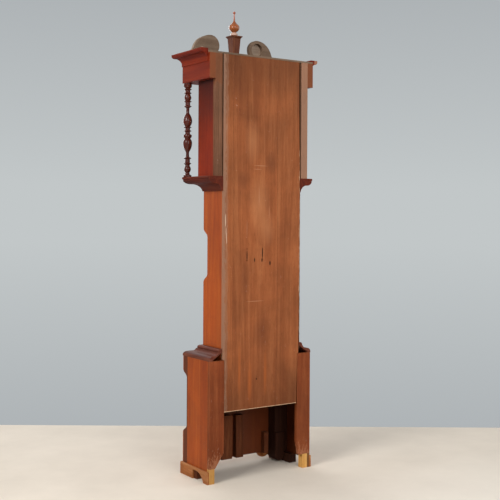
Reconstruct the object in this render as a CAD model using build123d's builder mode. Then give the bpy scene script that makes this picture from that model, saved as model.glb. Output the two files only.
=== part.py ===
from build123d import *
import os
from math import atan2, cos, floor, pi, radians, sin, sqrt

os.makedirs("parts", exist_ok=True)

# A tall mahogany longcase clock with a pine back, an eight-day movement and a square painted dial.
# The origin is on the floor in the middle of the plan. The clock faces -Y, and its back is at +Y.
# Depths are counted forward from the back of the clock.

# Main sizes of the case
total_height = 2300.0
trunk_width = 451.0
trunk_depth = 178.0
base_projection = 70.0
hood_projection = 78.0
cornice_projection = 40.0
base_top = 577.0
trunk_bottom = 540.0
throat_bottom = 1380.0
hood_floor_bottom = 1438.0
frieze_bottom = 1908.0
cornice_bottom = 1988.0
cornice_top = 2048.0
hood_top = 2036.0
backboard_bottom = 331.0

# Board thicknesses
side_board = 16.0
front_board = 18.0
back_plank = 12.0
rear_stile_board = 20.0
hood_floor_board = 12.0
hood_top_board_thickness = 8.0
skirt_board = 9.0

# Base and feet
skirt_height = 58.0
skirt_arch = 44.0
skirt_bead = 3.0
front_foot_length = 109.0
rear_foot_length = 40.0
side_arch_curve = 58.0
foot_width = 78.0
bracket_lobe = 82.0
lobe_drop = 20.0
base_post = 42.0
base_cant = 35.0
base_cant_bottom = 200.0
base_cant_top = 513.0
base_stop = 42.0
rear_stile_width = 80.0
stile_taper_top = 140.0
stile_taper = 48.0
slight_stile_taper = 14.0
foot_block_height = 70.0
foot_block_depth = 34.0
foot_block_width = 44.0
narrow_foot_block_width = 29.0
glue_block_depth = 30.0

# Trunk
trunk_post = 40.0
trunk_cant = 36.0
trunk_cant_bottom = 935.0
trunk_cant_top = 1203.0
trunk_stop = 48.0
trunk_front_board = 22.0
door_opening_width = 294.0
door_opening_bottom = 850.0
door_opening_top = 1288.0
door_lip = 8.0
door_lip_thickness = 6.0
door_gap = 1.0
left_seam = 170.0
right_seam = -88.0
backboard_gap = 0.6
cheek_depth = 114.0

# Wall screw holes in the backboard
screw_spacing_x = 90.0
screw_spacing_z = 56.0
screw_hole_radius = 3.0
screw_centre_x = 44.0
screw_centre_z = 1075.0

# Hood
hood_side_gap = 29.5
hood_stile_width = 38.0
hood_front_depth = 157.0
hood_door_thickness = 20.0
hood_door_width = 453.0
hood_door_gap = 2.0
dial_opening = 344.0
glass_thickness = 2.5
glass_rebate = 5.0
column_inset = 20.5
soffit_board = 12.0
cornice_rear_gap = 15.0

# Columns and pediment
column_ring = 20.0
column_vase = 22.5
column_neck = 8.0
scroll_back_depth = 258.0
scroll_board = 22.0
scroll_centre_x = 140.0
scroll_top = 2165.0
scroll_radius = 50.0
scroll_shoulder = 92.0
scroll_shoulder_turn = 72.0
scroll_hollow = 50.0
scroll_tail_x = 322.0
scroll_hole = 35.0
neck_moulding_width = 11.0
neck_moulding_thickness = 16.0
roundel_radius = 43.0
roundel_thickness = 16.0
pedestal_foot = 34.0
pedestal_head = 48.0
pedestal_cap = 62.0
pedestal_cap_height = 13.0
pedestal_top = 2173.0
pedestal_depth = 262.0
finial_ball_radius = 27.0
finial_ring_radius = 18.5
corner_block_size = 50.0
corner_block_proud = 59.0
foot_core_top = 150.0

# Movement, set out from the centre arbor
movement_back = 40.0
plate_thickness = 3.0
plate_gap = 55.0
plate_width = 134.0
plate_below = 62.0
plate_above = 98.0
seatboard_thickness = 20.0
running_fit = 0.05
arbor_radius = 2.0
pivot_radius = 1.5
centre_arbor_radius = 2.2
great_arbor_radius = 3.0
wheel_thickness = 2.0
great_wheel_thickness = 3.0
pinion_length = 9.0
seconds_height = 50.0
pallet_height = 82.0
great_drop = 11.4

# Tooth counts and tooth modules of the two trains and the motion work
great_teeth = 96
centre_pinion_leaves = 8
centre_teeth = 60
third_pinion_leaves = 8
third_teeth = 56
escape_pinion_leaves = 7
escape_teeth = 30
strike_great_teeth = 78
motion_teeth = 42
minute_pinion_leaves = 6
hour_teeth = 72
great_module = 0.75
centre_module = 0.9
third_module = 0.8
strike_module = 0.88
motion_module = 0.6
escape_radius = 22.0
tooth_tip = 0.45
tooth_root = 1.5
barrel_radius = 25.0
barrel_length = 32.0
barrel_flange = 2.0
line_radius = 1.0

# Dial and hands
dial_size = 356.0
dial_thickness = 1.6
dial_depth = 118.0
winding_hole_radius = 6.0
dial_centre_hole = 7.0
seconds_hole = 3.0
dial_foot_radius = 2.5
hour_hand_length = 92.0
minute_hand_length = 138.0
seconds_hand_length = 27.0
hand_thickness = 1.0
minutes_shown = 8.5
hours_shown = 10

# Pendulum, weights and bell
pendulum_depth = 26.0
pendulum_length = 985.0
rod_radius = 2.5
bob_radius = 56.0
bob_half_thickness = 8.0
nut_radius = 8.0
nut_height = 8.0
crutch_length = 120.0
pulley_radius = 28.0
pulley_width = 9.0
weight_radius = 32.0
weight_height = 200.0
weight_drop = 1100.0
pulley_below_seat = 34.0
bell_radius = 48.0
bell_height = 40.0
bell_wall = 2.5
bell_mouth_height = 112.0
bell_depth = 66.0
gouge_cuts = 2

# Worked out from the sizes above
trunk_half = trunk_width / 2
base_half = trunk_half + base_projection
base_depth = trunk_depth + base_projection
hood_half = trunk_half + hood_projection
hood_depth = trunk_depth + hood_projection
overall_depth = hood_depth + cornice_projection
rear_y = overall_depth / 2
hood_floor = hood_floor_bottom + hood_floor_board
hood_side_outer = trunk_half + hood_side_gap + side_board
stile_inner = base_half - rear_stile_width
door_middle = (hood_floor + frieze_bottom) / 2
dial_centre = door_middle
back_plate_front = movement_back + plate_thickness
front_plate_back = back_plate_front + plate_gap
front_plate_front = front_plate_back + plate_thickness
seat_top = dial_centre - plate_below
seat_bottom = seat_top - seatboard_thickness
hood_void = trunk_half + 2.5


def at(depth):
    """Upright plane facing the front, at a depth from the back. Its x is X and its y is the height."""
    return Plane.XZ.offset(depth - rear_y)


def board(x, depth, z, mode=Mode.ADD):
    """Plain sawn board between two widths, two depths from the back and two heights."""
    middle = ((x[0] + x[1]) / 2, rear_y - (depth[0] + depth[1]) / 2, (z[0] + z[1]) / 2)
    with Locations(middle):
        Box(abs(x[1] - x[0]), abs(depth[1] - depth[0]), abs(z[1] - z[0]), mode=mode)


def turned_outline(points):
    """Closed half outline of a turned piece. Each point is radius, height and how far the curve
    that leads to it bulges out from the straight line. The gouge leaves it as short cones."""
    corners = [points[0][:2]]
    for start, end in zip(points, points[1:]):
        cuts = gouge_cuts if end[2] else 1
        for cut in range(1, cuts + 1):
            share = cut / cuts
            bulge = 4 * end[2] * share * (1 - share)
            radius = start[0] + (end[0] - start[0]) * share + bulge
            corners.append((radius, start[1] + (end[1] - start[1]) * share))
    Polyline(*corners, (0, points[-1][1]), (0, points[0][1]), corners[0])


def cant_outline(low, high, stop, depth):
    """Outline of the slice taken off a post's corner, with a lamb's tongue stop at each end."""
    clear = -10.0
    Spline((0, low), (depth, low + stop), tangents=((0, 1), (0, 1)))
    Line((depth, low + stop), (depth, high - stop))
    Spline((depth, high - stop), (0, high), tangents=((0, 1), (0, 1)))
    Polyline((0, high), (clear, high), (clear, low), (0, low))


def run_plane(half_width):
    """Upright plane across the back end of a moulding, with x outward from the case side."""
    return Plane(origin=(half_width, rear_y, 0), x_dir=(1, 0, 0), z_dir=(0, -1, 0))


def tooth_points(teeth, tip, root, phase, lean=0.5):
    """Corners of a ring of pointed teeth. Lean is where the gap's bottom lies between two tips."""
    corners = []
    step = 2 * pi / teeth
    for index in range(teeth):
        turn = phase + index * step
        corners.append((tip * cos(turn), tip * sin(turn)))
        turn += lean * step
        corners.append((root * cos(turn), root * sin(turn)))
    return corners


def wheel_tip(teeth, module):
    """Tip radius of a wheel or pinion."""
    return module * (teeth / 2 + tooth_tip)


def wheel_root(teeth, module):
    """Radius at the bottom of the gaps of a wheel or pinion."""
    return module * (teeth / 2 - tooth_root)


def meshed_phase(driver_teeth, driver_phase, driven_teeth, direction):
    """Phase that puts a tooth of the driven wheel into a gap of the driver. Direction is the angle
    from the driver's centre to the driven wheel's centre."""
    driver_step = 2 * pi / driver_teeth
    driven_step = 2 * pi / driven_teeth
    share = (direction - driver_phase) / driver_step
    share -= floor(share)
    return direction + pi - driven_step * (0.5 - share)


def arbor_place(x, height):
    """Place of an arbor on an upright plane, from the centre arbor."""
    return Locations((x, dial_centre + height))


# Arbor places, across and up from the centre arbor
great_distance = great_module * (great_teeth + centre_pinion_leaves) / 2
great_x = sqrt(great_distance**2 - great_drop**2)
centre_to_third = centre_module * (centre_teeth + third_pinion_leaves) / 2
third_to_escape = third_module * (third_teeth + escape_pinion_leaves) / 2
third_up = (seconds_height**2 + centre_to_third**2 - third_to_escape**2) / (2 * seconds_height)
third_x = sqrt(centre_to_third**2 - third_up**2)
strike_x = -great_x
motion_distance = motion_module * motion_teeth
hour_module = 2 * motion_distance / (minute_pinion_leaves + hour_teeth)
hammer_x = -58.0
hammer_up = 72.0
arbor_places = (
    (great_x, -great_drop, great_arbor_radius),
    (strike_x, -great_drop, great_arbor_radius),
    (third_x, third_up, pivot_radius),
    (0, seconds_height, pivot_radius),
    (0, pallet_height, pivot_radius),
    (hammer_x, hammer_up, pivot_radius),
)

# Tooth phases, each worked out from the wheel before it
centre_phase = 0.0
great_phase = meshed_phase(
    centre_pinion_leaves, centre_phase, great_teeth, atan2(-great_drop, great_x)
)
third_pinion_phase = meshed_phase(
    centre_teeth, centre_phase, third_pinion_leaves, atan2(third_up, third_x)
)
escape_pinion_phase = meshed_phase(
    third_teeth, third_pinion_phase, escape_pinion_leaves, atan2(seconds_height - third_up, -third_x)
)
minute_phase = meshed_phase(motion_teeth, 0.0, motion_teeth, -pi / 2)
hour_phase = meshed_phase(minute_pinion_leaves, minute_phase, hour_teeth, pi / 2)

# Base: a panelled box with canted front corners

panel_half = base_half - base_post
with BuildPart() as base_front:
    board((0, panel_half), (base_depth - front_board, base_depth), (skirt_arch, base_top))
    board(
        (panel_half, base_half),
        (base_depth - base_post, base_depth),
        (skirt_arch, base_top),
    )
    corner = (base_half, rear_y - base_depth, 0)
    with BuildSketch(Plane(origin=corner, x_dir=(-1, 1, 0), z_dir=(1, 1, 0))) as base_cant_slice:
        with BuildLine():
            cant_outline(base_cant_bottom, base_cant_top, base_stop, base_cant / sqrt(2))
        make_face()
    extrude(amount=base_cant, both=True, mode=Mode.SUBTRACT)
    mirror(about=Plane.YZ)
base_front.part.label = "base_front"
export_step(base_front.part, "parts/base_front.step")

with BuildPart() as base_sides:
    board(
        (base_half - side_board, base_half),
        (rear_stile_board, base_depth - base_post),
        (skirt_arch, base_top),
    )
    mirror(about=Plane.YZ)
base_sides.part.label = "base_sides"
export_step(base_sides.part, "parts/base_sides.step")

with BuildPart() as rear_stiles:
    with BuildSketch(at(0)):
        for side, taper in ((1, stile_taper), (-1, slight_stile_taper)):
            with BuildLine():
                Polyline(
                    (side * base_half, base_top),
                    (side * stile_inner, base_top),
                    (side * stile_inner, stile_taper_top),
                    (side * (stile_inner + taper), foot_block_height),
                    (side * base_half, foot_block_height),
                    close=True,
                )
            make_face()
    extrude(amount=rear_stile_board)
rear_stiles.part.label = "rear_stiles"
export_step(rear_stiles.part, "parts/rear_stiles.step")

# New pale wood let in under the worn rear stiles, and the rubbed blocks behind the front feet
with BuildPart() as foot_blocks:
    for side, width in ((1, narrow_foot_block_width), (-1, foot_block_width)):
        inner = side * (base_half - width)
        board((inner, side * base_half), (0, rear_stile_board), (0, foot_block_height))
        side_face = side * (base_half - side_board)
        board((inner, side_face), (rear_stile_board, foot_block_depth), (0, foot_block_height))
foot_blocks.part.label = "foot_blocks"
export_step(foot_blocks.part, "parts/foot_blocks.step")

with BuildPart() as skirting:
    # The front board has bracket feet with a lobe beside each foot
    with BuildSketch(at(base_depth)):
        outer = base_half + skirt_board
        foot = outer - foot_width
        lobe = foot - bracket_lobe
        with BuildLine():
            Polyline((foot, 0), (outer, 0), (outer, skirt_height), (0, skirt_height), (0, skirt_arch))
            Line((0, skirt_arch), (lobe, skirt_arch))
            ThreePointArc(
                (lobe, skirt_arch), (lobe + 4.0, (skirt_arch + lobe_drop) / 2), (lobe + 14.0, lobe_drop)
            )
            ThreePointArc(
                (lobe + 14.0, lobe_drop), ((lobe + foot) / 2, lobe_drop - 7.0), (foot - 18.0, lobe_drop)
            )
            ThreePointArc((foot - 18.0, lobe_drop), (foot - 7.0, lobe_drop - 4.0), (foot, 0))
        make_face()
        mirror(about=Plane.YZ)
    extrude(amount=skirt_board)
    # The side boards have a straight front foot and a curved rear foot
    with BuildSketch(Plane.YZ.offset(base_half)):
        front_end = rear_y - base_depth
        arch_front = front_end + front_foot_length
        arch_back = rear_y - rear_foot_length - side_arch_curve
        with BuildLine():
            Polyline(
                (arch_back, skirt_arch),
                (arch_front, skirt_arch),
                (arch_front, 0),
                (front_end, 0),
                (front_end, skirt_height),
                (rear_y, skirt_height),
                (rear_y, 0),
                (rear_y - rear_foot_length, 0),
            )
            ThreePointArc(
                (rear_y - rear_foot_length, 0),
                (rear_y - rear_foot_length - side_arch_curve * 0.36, skirt_arch * 0.64),
                (arch_back, skirt_arch),
            )
        make_face()
    extrude(amount=skirt_board)
    mirror(about=Plane.YZ)
    outer_top = skirting.edges().filter_by(lambda edge: edge.center().Z > skirt_height - 0.1)
    rim = outer_top.filter_by(
        lambda edge: abs(edge.center().X) > base_half + skirt_board - 0.1
        or edge.center().Y < rear_y - base_depth - skirt_board + 0.1
    )
    chamfer(rim, skirt_bead)
skirting.part.label = "skirting"
export_step(skirting.part, "parts/skirting.step")

# Blocks glued inside the base, against the front panel, its corners and the feet
with BuildPart() as glue_blocks:
    inner_face = base_depth - front_board
    block_back = inner_face - glue_block_depth
    board((38.0, 100.0), (block_back, inner_face), (skirt_arch, 262.0))
    board((-28.0, 14.0), (block_back, inner_face), (skirt_arch, 258.0))
    board((-183.0, -158.0), (block_back, inner_face), (skirt_arch, 150.0))
    for side in (-1, 1):
        board(
            (side * (base_half - side_board - 28.0), side * (base_half - side_board)),
            (rear_stile_board, rear_stile_board + 28.0),
            (foot_block_height + 30.0, base_top - 40.0),
        )
        board(
            (side * (base_half - base_post), side * base_half),
            (base_depth - front_foot_length - 26.0, base_depth - base_post),
            (0, skirt_arch),
        )
    # A stout post fills the front corner on the left, with a rounded core of the foot under it
    post_x = base_post - base_half
    post_back = inner_face - corner_block_proud
    board((post_x, post_x + corner_block_size), (post_back, inner_face), (skirt_arch, trunk_bottom))
    board(
        (side_board - base_half, post_x),
        (post_back, base_depth - base_post),
        (skirt_arch, trunk_bottom),
    )
    core_radius = corner_block_size / 2
    with BuildSketch(at(post_back - 8.0)):
        with Locations((post_x + core_radius, core_radius + 6.0)):
            Circle(core_radius)
        with Locations((post_x + core_radius, (core_radius + 6.0 + foot_core_top) / 2)):
            Rectangle(corner_block_size, foot_core_top - core_radius - 6.0)
    extrude(amount=corner_block_proud + 8.0)
glue_blocks.part.label = "glue_blocks"
export_step(glue_blocks.part, "parts/glue_blocks.step")

# Stepped moulding between base and trunk: a thin mitred run that is hollow behind
with BuildPart() as base_moulding:
    with BuildSketch(run_plane(trunk_half)):
        edge = base_projection + 2.0
        with BuildLine():
            Line((0, base_top + 55.0), (5.0, base_top + 55.0))
            ThreePointArc(
                (5.0, base_top + 55.0), (19.0, base_top + 49.0), (20.0, base_top + 38.0)
            )
            Line((20.0, base_top + 38.0), (25.0, base_top + 38.0))
            ThreePointArc(
                (25.0, base_top + 38.0), (31.0, base_top + 28.0), (43.0, base_top + 23.0)
            )
            Line((43.0, base_top + 23.0), (48.0, base_top + 23.0))
            ThreePointArc((48.0, base_top + 23.0), (edge - 5.0, base_top + 17.0), (edge, base_top))
            Polyline(
                (edge, base_top),
                (edge - 18.0, base_top),
                (edge - 18.0, base_top + 5.0),
                (0, base_top + 40.0),
                (0, base_top + 55.0),
            )
        make_face()
    with BuildLine() as base_run:
        Polyline(
            (trunk_half, rear_y, 0),
            (trunk_half, rear_y - trunk_depth, 0),
            (-trunk_half, rear_y - trunk_depth, 0),
            (-trunk_half, rear_y, 0),
        )
    sweep(path=base_run.wire(), transition=Transition.RIGHT)
base_moulding.part.label = "base_moulding"
export_step(base_moulding.part, "parts/base_moulding.step")

# Trunk: two sides that rise into the hood as cheeks, posts, rails and a short door

with BuildPart() as trunk_sides:
    board(
        (trunk_half - side_board, trunk_half),
        (back_plank, trunk_depth - trunk_post),
        (base_top, hood_floor_bottom),
    )
    board(
        (trunk_half - side_board, trunk_half),
        (rear_stile_board, trunk_depth - trunk_post),
        (trunk_bottom, base_top),
    )
    board(
        (trunk_half - side_board, trunk_half),
        (back_plank, back_plank + cheek_depth),
        (hood_floor_bottom, seat_bottom),
    )
    mirror(about=Plane.YZ)
trunk_sides.part.label = "trunk_sides"
export_step(trunk_sides.part, "parts/trunk_sides.step")

opening_half = door_opening_width / 2
with BuildPart() as trunk_front:
    board(
        (trunk_half - trunk_post, trunk_half),
        (trunk_depth - trunk_post, trunk_depth),
        (trunk_bottom, hood_floor_bottom),
    )
    board(
        (opening_half, trunk_half - trunk_post),
        (trunk_depth - trunk_front_board, trunk_depth),
        (trunk_bottom, hood_floor_bottom),
    )
    corner = (trunk_half, rear_y - trunk_depth, 0)
    with BuildSketch(Plane(origin=corner, x_dir=(-1, 1, 0), z_dir=(1, 1, 0))) as trunk_cant_slice:
        with BuildLine():
            cant_outline(trunk_cant_bottom, trunk_cant_top, trunk_stop, trunk_cant / sqrt(2))
        make_face()
    extrude(amount=trunk_cant, both=True, mode=Mode.SUBTRACT)
    mirror(about=Plane.YZ)
    rail_depth = (trunk_depth - trunk_front_board, trunk_depth)
    board((-opening_half, opening_half), rail_depth, (trunk_bottom, door_opening_bottom))
    board((-opening_half, opening_half), rail_depth, (door_opening_top, hood_floor_bottom))
trunk_front.part.label = "trunk_front"
export_step(trunk_front.part, "parts/trunk_front.step")

# Backboard of three upright pine planks. Its right edge is uneven.
backboard_top = hood_top - hood_top_board_thickness - 1.0
lower_half = stile_inner - 2.0

with BuildPart() as backboard_left:
    with BuildSketch(at(0)):
        with BuildLine():
            Polyline(
                (left_seam + backboard_gap, backboard_bottom),
                (lower_half, backboard_bottom),
                (lower_half, base_top),
                (trunk_half, base_top + 4.0),
                (trunk_half, backboard_top),
                (left_seam + backboard_gap, backboard_top),
                close=True,
            )
        make_face()
    extrude(amount=back_plank)
backboard_left.part.label = "backboard_left"
export_step(backboard_left.part, "parts/backboard_left.step")

with BuildPart() as backboard_centre:
    with BuildSketch(at(0)):
        plank_width = left_seam - right_seam - backboard_gap
        with Locations(((left_seam + right_seam) / 2, (backboard_bottom + backboard_top) / 2)):
            Rectangle(plank_width, backboard_top - backboard_bottom)
        with Locations((screw_centre_x, screw_centre_z)):
            with GridLocations(screw_spacing_x, screw_spacing_z, 2, 2):
                Circle(screw_hole_radius, mode=Mode.SUBTRACT)
    extrude(amount=back_plank)
backboard_centre.part.label = "backboard_centre"
export_step(backboard_centre.part, "parts/backboard_centre.step")

with BuildPart() as backboard_right:
    with BuildSketch(at(0)):
        with BuildLine():
            Polyline(
                (right_seam - backboard_gap, backboard_bottom),
                (4.0 - lower_half, backboard_bottom),
                (1.0 - lower_half, base_top - 108.0),
                (-lower_half, base_top),
                (4.0 - trunk_half, base_top + 5.0),
                (2.0 - trunk_half, base_top + 270.0),
                (-trunk_half, base_top + 520.0),
                (1.5 - trunk_half, throat_bottom + 130.0),
                (5.0 - trunk_half, throat_bottom + 320.0),
                (7.0 - trunk_half, backboard_top),
                (right_seam - backboard_gap, backboard_top),
                close=True,
            )
        make_face()
    extrude(amount=back_plank)
backboard_right.part.label = "backboard_right"
export_step(backboard_right.part, "parts/backboard_right.step")

with BuildPart() as throat_moulding:
    with BuildSketch(run_plane(trunk_half)):
        lip = hood_projection - 4.0
        with BuildLine():
            Polyline((0, hood_floor_bottom), (0, throat_bottom), (5.0, throat_bottom))
            ThreePointArc(
                (5.0, throat_bottom), (17.0, throat_bottom + 24.0), (40.0, throat_bottom + 35.0)
            )
            Line((40.0, throat_bottom + 35.0), (45.0, throat_bottom + 35.0))
            ThreePointArc(
                (45.0, throat_bottom + 35.0),
                (63.0, throat_bottom + 39.0),
                (lip, hood_floor_bottom - 8.0),
            )
            Polyline(
                (lip, hood_floor_bottom - 8.0), (lip, hood_floor_bottom), (0, hood_floor_bottom)
            )
        make_face()
    with BuildLine() as throat_run:
        Polyline(
            (trunk_half, rear_y, 0),
            (trunk_half, rear_y - trunk_depth, 0),
            (-trunk_half, rear_y - trunk_depth, 0),
            (-trunk_half, rear_y, 0),
        )
    sweep(path=throat_run.wire(), transition=Transition.RIGHT)
throat_moulding.part.label = "throat_moulding"
export_step(throat_moulding.part, "parts/throat_moulding.step")

# Trunk door with a lipped edge, hung on two brass butts at the right

door_half = opening_half - door_gap
door_height = door_opening_top - door_opening_bottom - 2 * door_gap
door_centre_z = (door_opening_top + door_opening_bottom) / 2
with BuildPart() as trunk_door:
    with BuildSketch(at(trunk_depth - trunk_front_board + 2.0)):
        with Locations((0, door_centre_z)):
            Rectangle(2 * door_half, door_height)
    extrude(amount=trunk_front_board - 2.0)
    with BuildSketch(at(trunk_depth + door_gap)):
        with Locations((0, door_centre_z)):
            Rectangle(2 * (door_half + door_lip), door_height + 2 * door_lip)
    extrude(amount=door_lip_thickness - door_gap)
    with BuildSketch(at(trunk_depth)):
        with Locations((0, door_centre_z)):
            Rectangle(2 * door_half, door_height)
    extrude(amount=door_gap)
    lip_rim = trunk_door.faces().sort_by(Axis.Y)[0].edges()
    chamfer(lip_rim, 2.0)
trunk_door.part.label = "trunk_door"
export_step(trunk_door.part, "parts/trunk_door.step")

knuckle_radius = 3.5
hinge_pin_radius = 1.5
hinge_height = 60.0
trunk_hinge_x = door_half + door_lip + knuckle_radius + 1.5
trunk_hinge_depth = trunk_depth + knuckle_radius
hinge_heights = (door_opening_bottom + 70.0, door_opening_top - 70.0)

with BuildPart() as trunk_hinge_leaves:
    for height in hinge_heights:
        for share in (-1, 1):
            knuckle_z = height + share * hinge_height / 3
            with BuildSketch(Plane.XY.offset(knuckle_z - hinge_height / 6 + 0.2)):
                with Locations((trunk_hinge_x, rear_y - trunk_hinge_depth)):
                    Circle(knuckle_radius)
                with Locations((trunk_hinge_x + 10.0, rear_y - trunk_depth - 0.6)):
                    Rectangle(20.0, 1.2)
            extrude(amount=hinge_height / 3 - 0.4)
        board(
            (trunk_hinge_x + knuckle_radius + 0.5, trunk_hinge_x + 20.0),
            (trunk_depth, trunk_depth + 1.2),
            (height - hinge_height / 2 + 0.2, height + hinge_height / 2 - 0.2),
        )
        with BuildSketch(Plane.XY.offset(height - hinge_height / 2 + 0.2)):
            with Locations((trunk_hinge_x, rear_y - trunk_hinge_depth)):
                Circle(hinge_pin_radius)
        extrude(amount=hinge_height - 0.4)
trunk_hinge_leaves.part.label = "trunk_hinge_leaves"
export_step(trunk_hinge_leaves.part, "parts/trunk_hinge_leaves.step")

with BuildPart() as trunk_door_hinges:
    for height in hinge_heights:
        with BuildSketch(Plane.XY.offset(height - hinge_height / 6 + 0.2)):
            with Locations((trunk_hinge_x, rear_y - trunk_hinge_depth)):
                Circle(knuckle_radius)
            leaf_face = trunk_depth + door_lip_thickness
            with Locations((trunk_hinge_x - 11.0, rear_y - leaf_face - 0.6)):
                Rectangle(22.0, 1.2)
            with Locations((trunk_hinge_x, rear_y - (trunk_hinge_depth + leaf_face) / 2 - 0.5)):
                Rectangle(2.4, leaf_face - trunk_hinge_depth + 1.0)
            with Locations((trunk_hinge_x, rear_y - trunk_hinge_depth)):
                Circle(hinge_pin_radius + running_fit, mode=Mode.SUBTRACT)
        extrude(amount=hinge_height / 3 - 0.4)
trunk_door_hinges.part.label = "trunk_door_hinges"
export_step(trunk_door_hinges.part, "parts/trunk_door_hinges.step")

with BuildPart() as trunk_door_lock:
    escutcheon_x = -door_half + 22.0
    leaf_face = trunk_depth + door_lip_thickness
    with BuildSketch(at(leaf_face)):
        with Locations((escutcheon_x, door_centre_z)):
            Ellipse(9.0, 15.0)
            Circle(2.4, mode=Mode.SUBTRACT)
            with Locations((0, -4.0)):
                Rectangle(2.4, 8.0, mode=Mode.SUBTRACT)
    extrude(amount=1.5)
    lock_back = trunk_depth - trunk_front_board + 2.0
    with BuildSketch(at(lock_back - 12.0)):
        with Locations((escutcheon_x + 6.0, door_centre_z)):
            Rectangle(44.0, 60.0)
    extrude(amount=12.0)
trunk_door_lock.part.label = "trunk_door_lock"
export_step(trunk_door_lock.part, "parts/trunk_door_lock.step")

# Hood: it slides off forwards, over the dial

with BuildPart() as hood_floor_frame:
    with BuildSketch(Plane.XY.offset(hood_floor_bottom)):
        with Locations((0, rear_y - hood_depth / 2)):
            Rectangle(2 * hood_half, hood_depth)
        void_depth = back_plank + cheek_depth + 4.0
        with Locations((0, rear_y - void_depth / 2)):
            Rectangle(2 * hood_void, void_depth, mode=Mode.SUBTRACT)
    extrude(amount=hood_floor_board)
    nosing = hood_floor_frame.edges().filter_by(
        lambda edge: abs(edge.center().X) > hood_half - 0.1
        or edge.center().Y < rear_y - hood_depth + 0.1
    )
    chamfer(nosing.filter_by(lambda edge: edge.length > 2 * hood_floor_board), 2.5)
hood_floor_frame.part.label = "hood_floor_frame"
export_step(hood_floor_frame.part, "parts/hood_floor_frame.step")

hood_body_top = hood_top - hood_top_board_thickness
door_back_depth = hood_front_depth - hood_door_thickness
hood_door_half = hood_door_width / 2
with BuildPart() as hood_sides:
    board(
        (hood_side_outer - side_board, hood_side_outer),
        (rear_stile_board, door_back_depth),
        (hood_floor, hood_body_top),
    )
    board(
        (hood_door_half + hood_door_gap, hood_side_outer),
        (door_back_depth, hood_front_depth),
        (hood_floor, frieze_bottom),
    )
    mirror(about=Plane.YZ)
hood_sides.part.label = "hood_sides"
export_step(hood_sides.part, "parts/hood_sides.step")

with BuildPart() as hood_rear_stiles:
    board(
        (hood_side_outer - hood_stile_width, hood_side_outer),
        (0, rear_stile_board),
        (hood_floor, hood_body_top),
    )
    mirror(about=Plane.YZ)
hood_rear_stiles.part.label = "hood_rear_stiles"
export_step(hood_rear_stiles.part, "parts/hood_rear_stiles.step")

hood_door_half = hood_door_width / 2

with BuildPart() as frieze:
    frieze_back = hood_depth - front_board
    board((-hood_half, hood_half), (frieze_back, hood_depth), (frieze_bottom, hood_body_top))
    for side in (-1, 1):
        board(
            (side * hood_side_outer, side * hood_half),
            (0, frieze_back),
            (frieze_bottom, hood_body_top),
        )
    board(
        (-hood_side_outer, hood_side_outer),
        (door_back_depth, frieze_back),
        (frieze_bottom, frieze_bottom + soffit_board),
    )
frieze.part.label = "frieze"
export_step(frieze.part, "parts/frieze.step")

with BuildPart() as hood_top_board:
    board((-hood_half, hood_half), (0, hood_depth), (hood_body_top, hood_top))
hood_top_board.part.label = "hood_top_board"
export_step(hood_top_board.part, "parts/hood_top_board.step")

with BuildPart() as cornice:
    with BuildSketch(run_plane(hood_half).offset(cornice_rear_gap)):
        tip = cornice_projection
        with BuildLine():
            Polyline((0, cornice_top), (0, cornice_bottom), (3.0, cornice_bottom))
            Line((3.0, cornice_bottom), (3.0, cornice_bottom + 6.0))
            ThreePointArc(
                (3.0, cornice_bottom + 6.0), (8.0, cornice_bottom + 27.0), (23.0, cornice_bottom + 40.0)
            )
            Line((23.0, cornice_bottom + 40.0), (27.0, cornice_bottom + 40.0))
            ThreePointArc(
                (27.0, cornice_bottom + 40.0), (36.0, cornice_bottom + 44.0), (tip, cornice_top - 6.0)
            )
            Polyline((tip, cornice_top - 6.0), (tip, cornice_top), (0, cornice_top))
        make_face()
    with BuildLine() as cornice_run:
        Polyline(
            (hood_half, rear_y - cornice_rear_gap, 0),
            (hood_half, rear_y - hood_depth, 0),
            (-hood_half, rear_y - hood_depth, 0),
            (-hood_half, rear_y - cornice_rear_gap, 0),
        )
    sweep(path=cornice_run.wire(), transition=Transition.RIGHT)
cornice.part.label = "cornice"
export_step(cornice.part, "parts/cornice.step")

# Swan-neck pediment: two scrolled boards on the cornice, with mouldings and turned roundels

scroll_centre_z = scroll_top - scroll_radius
shoulder_z = scroll_top - scroll_shoulder
turn = radians(scroll_shoulder_turn)
inflexion = (
    scroll_centre_x + scroll_shoulder * sin(turn),
    shoulder_z + scroll_shoulder * cos(turn),
)
hollow_centre = (
    inflexion[0] + scroll_hollow * sin(turn),
    inflexion[1] + scroll_hollow * cos(turn),
)
hollow_foot = (hollow_centre[0], hollow_centre[1] - scroll_hollow)


def scroll_top_edge():
    """Upper edge of a scroll board from the top of its circular end down to the tail."""
    half = turn / 2
    ThreePointArc(
        (scroll_centre_x, scroll_top),
        (
            scroll_centre_x + scroll_shoulder * sin(half),
            shoulder_z + scroll_shoulder * cos(half),
        ),
        inflexion,
    )
    ThreePointArc(
        inflexion,
        (hollow_centre[0] - scroll_hollow * sin(half), hollow_centre[1] - scroll_hollow * cos(half)),
        hollow_foot,
    )


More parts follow.
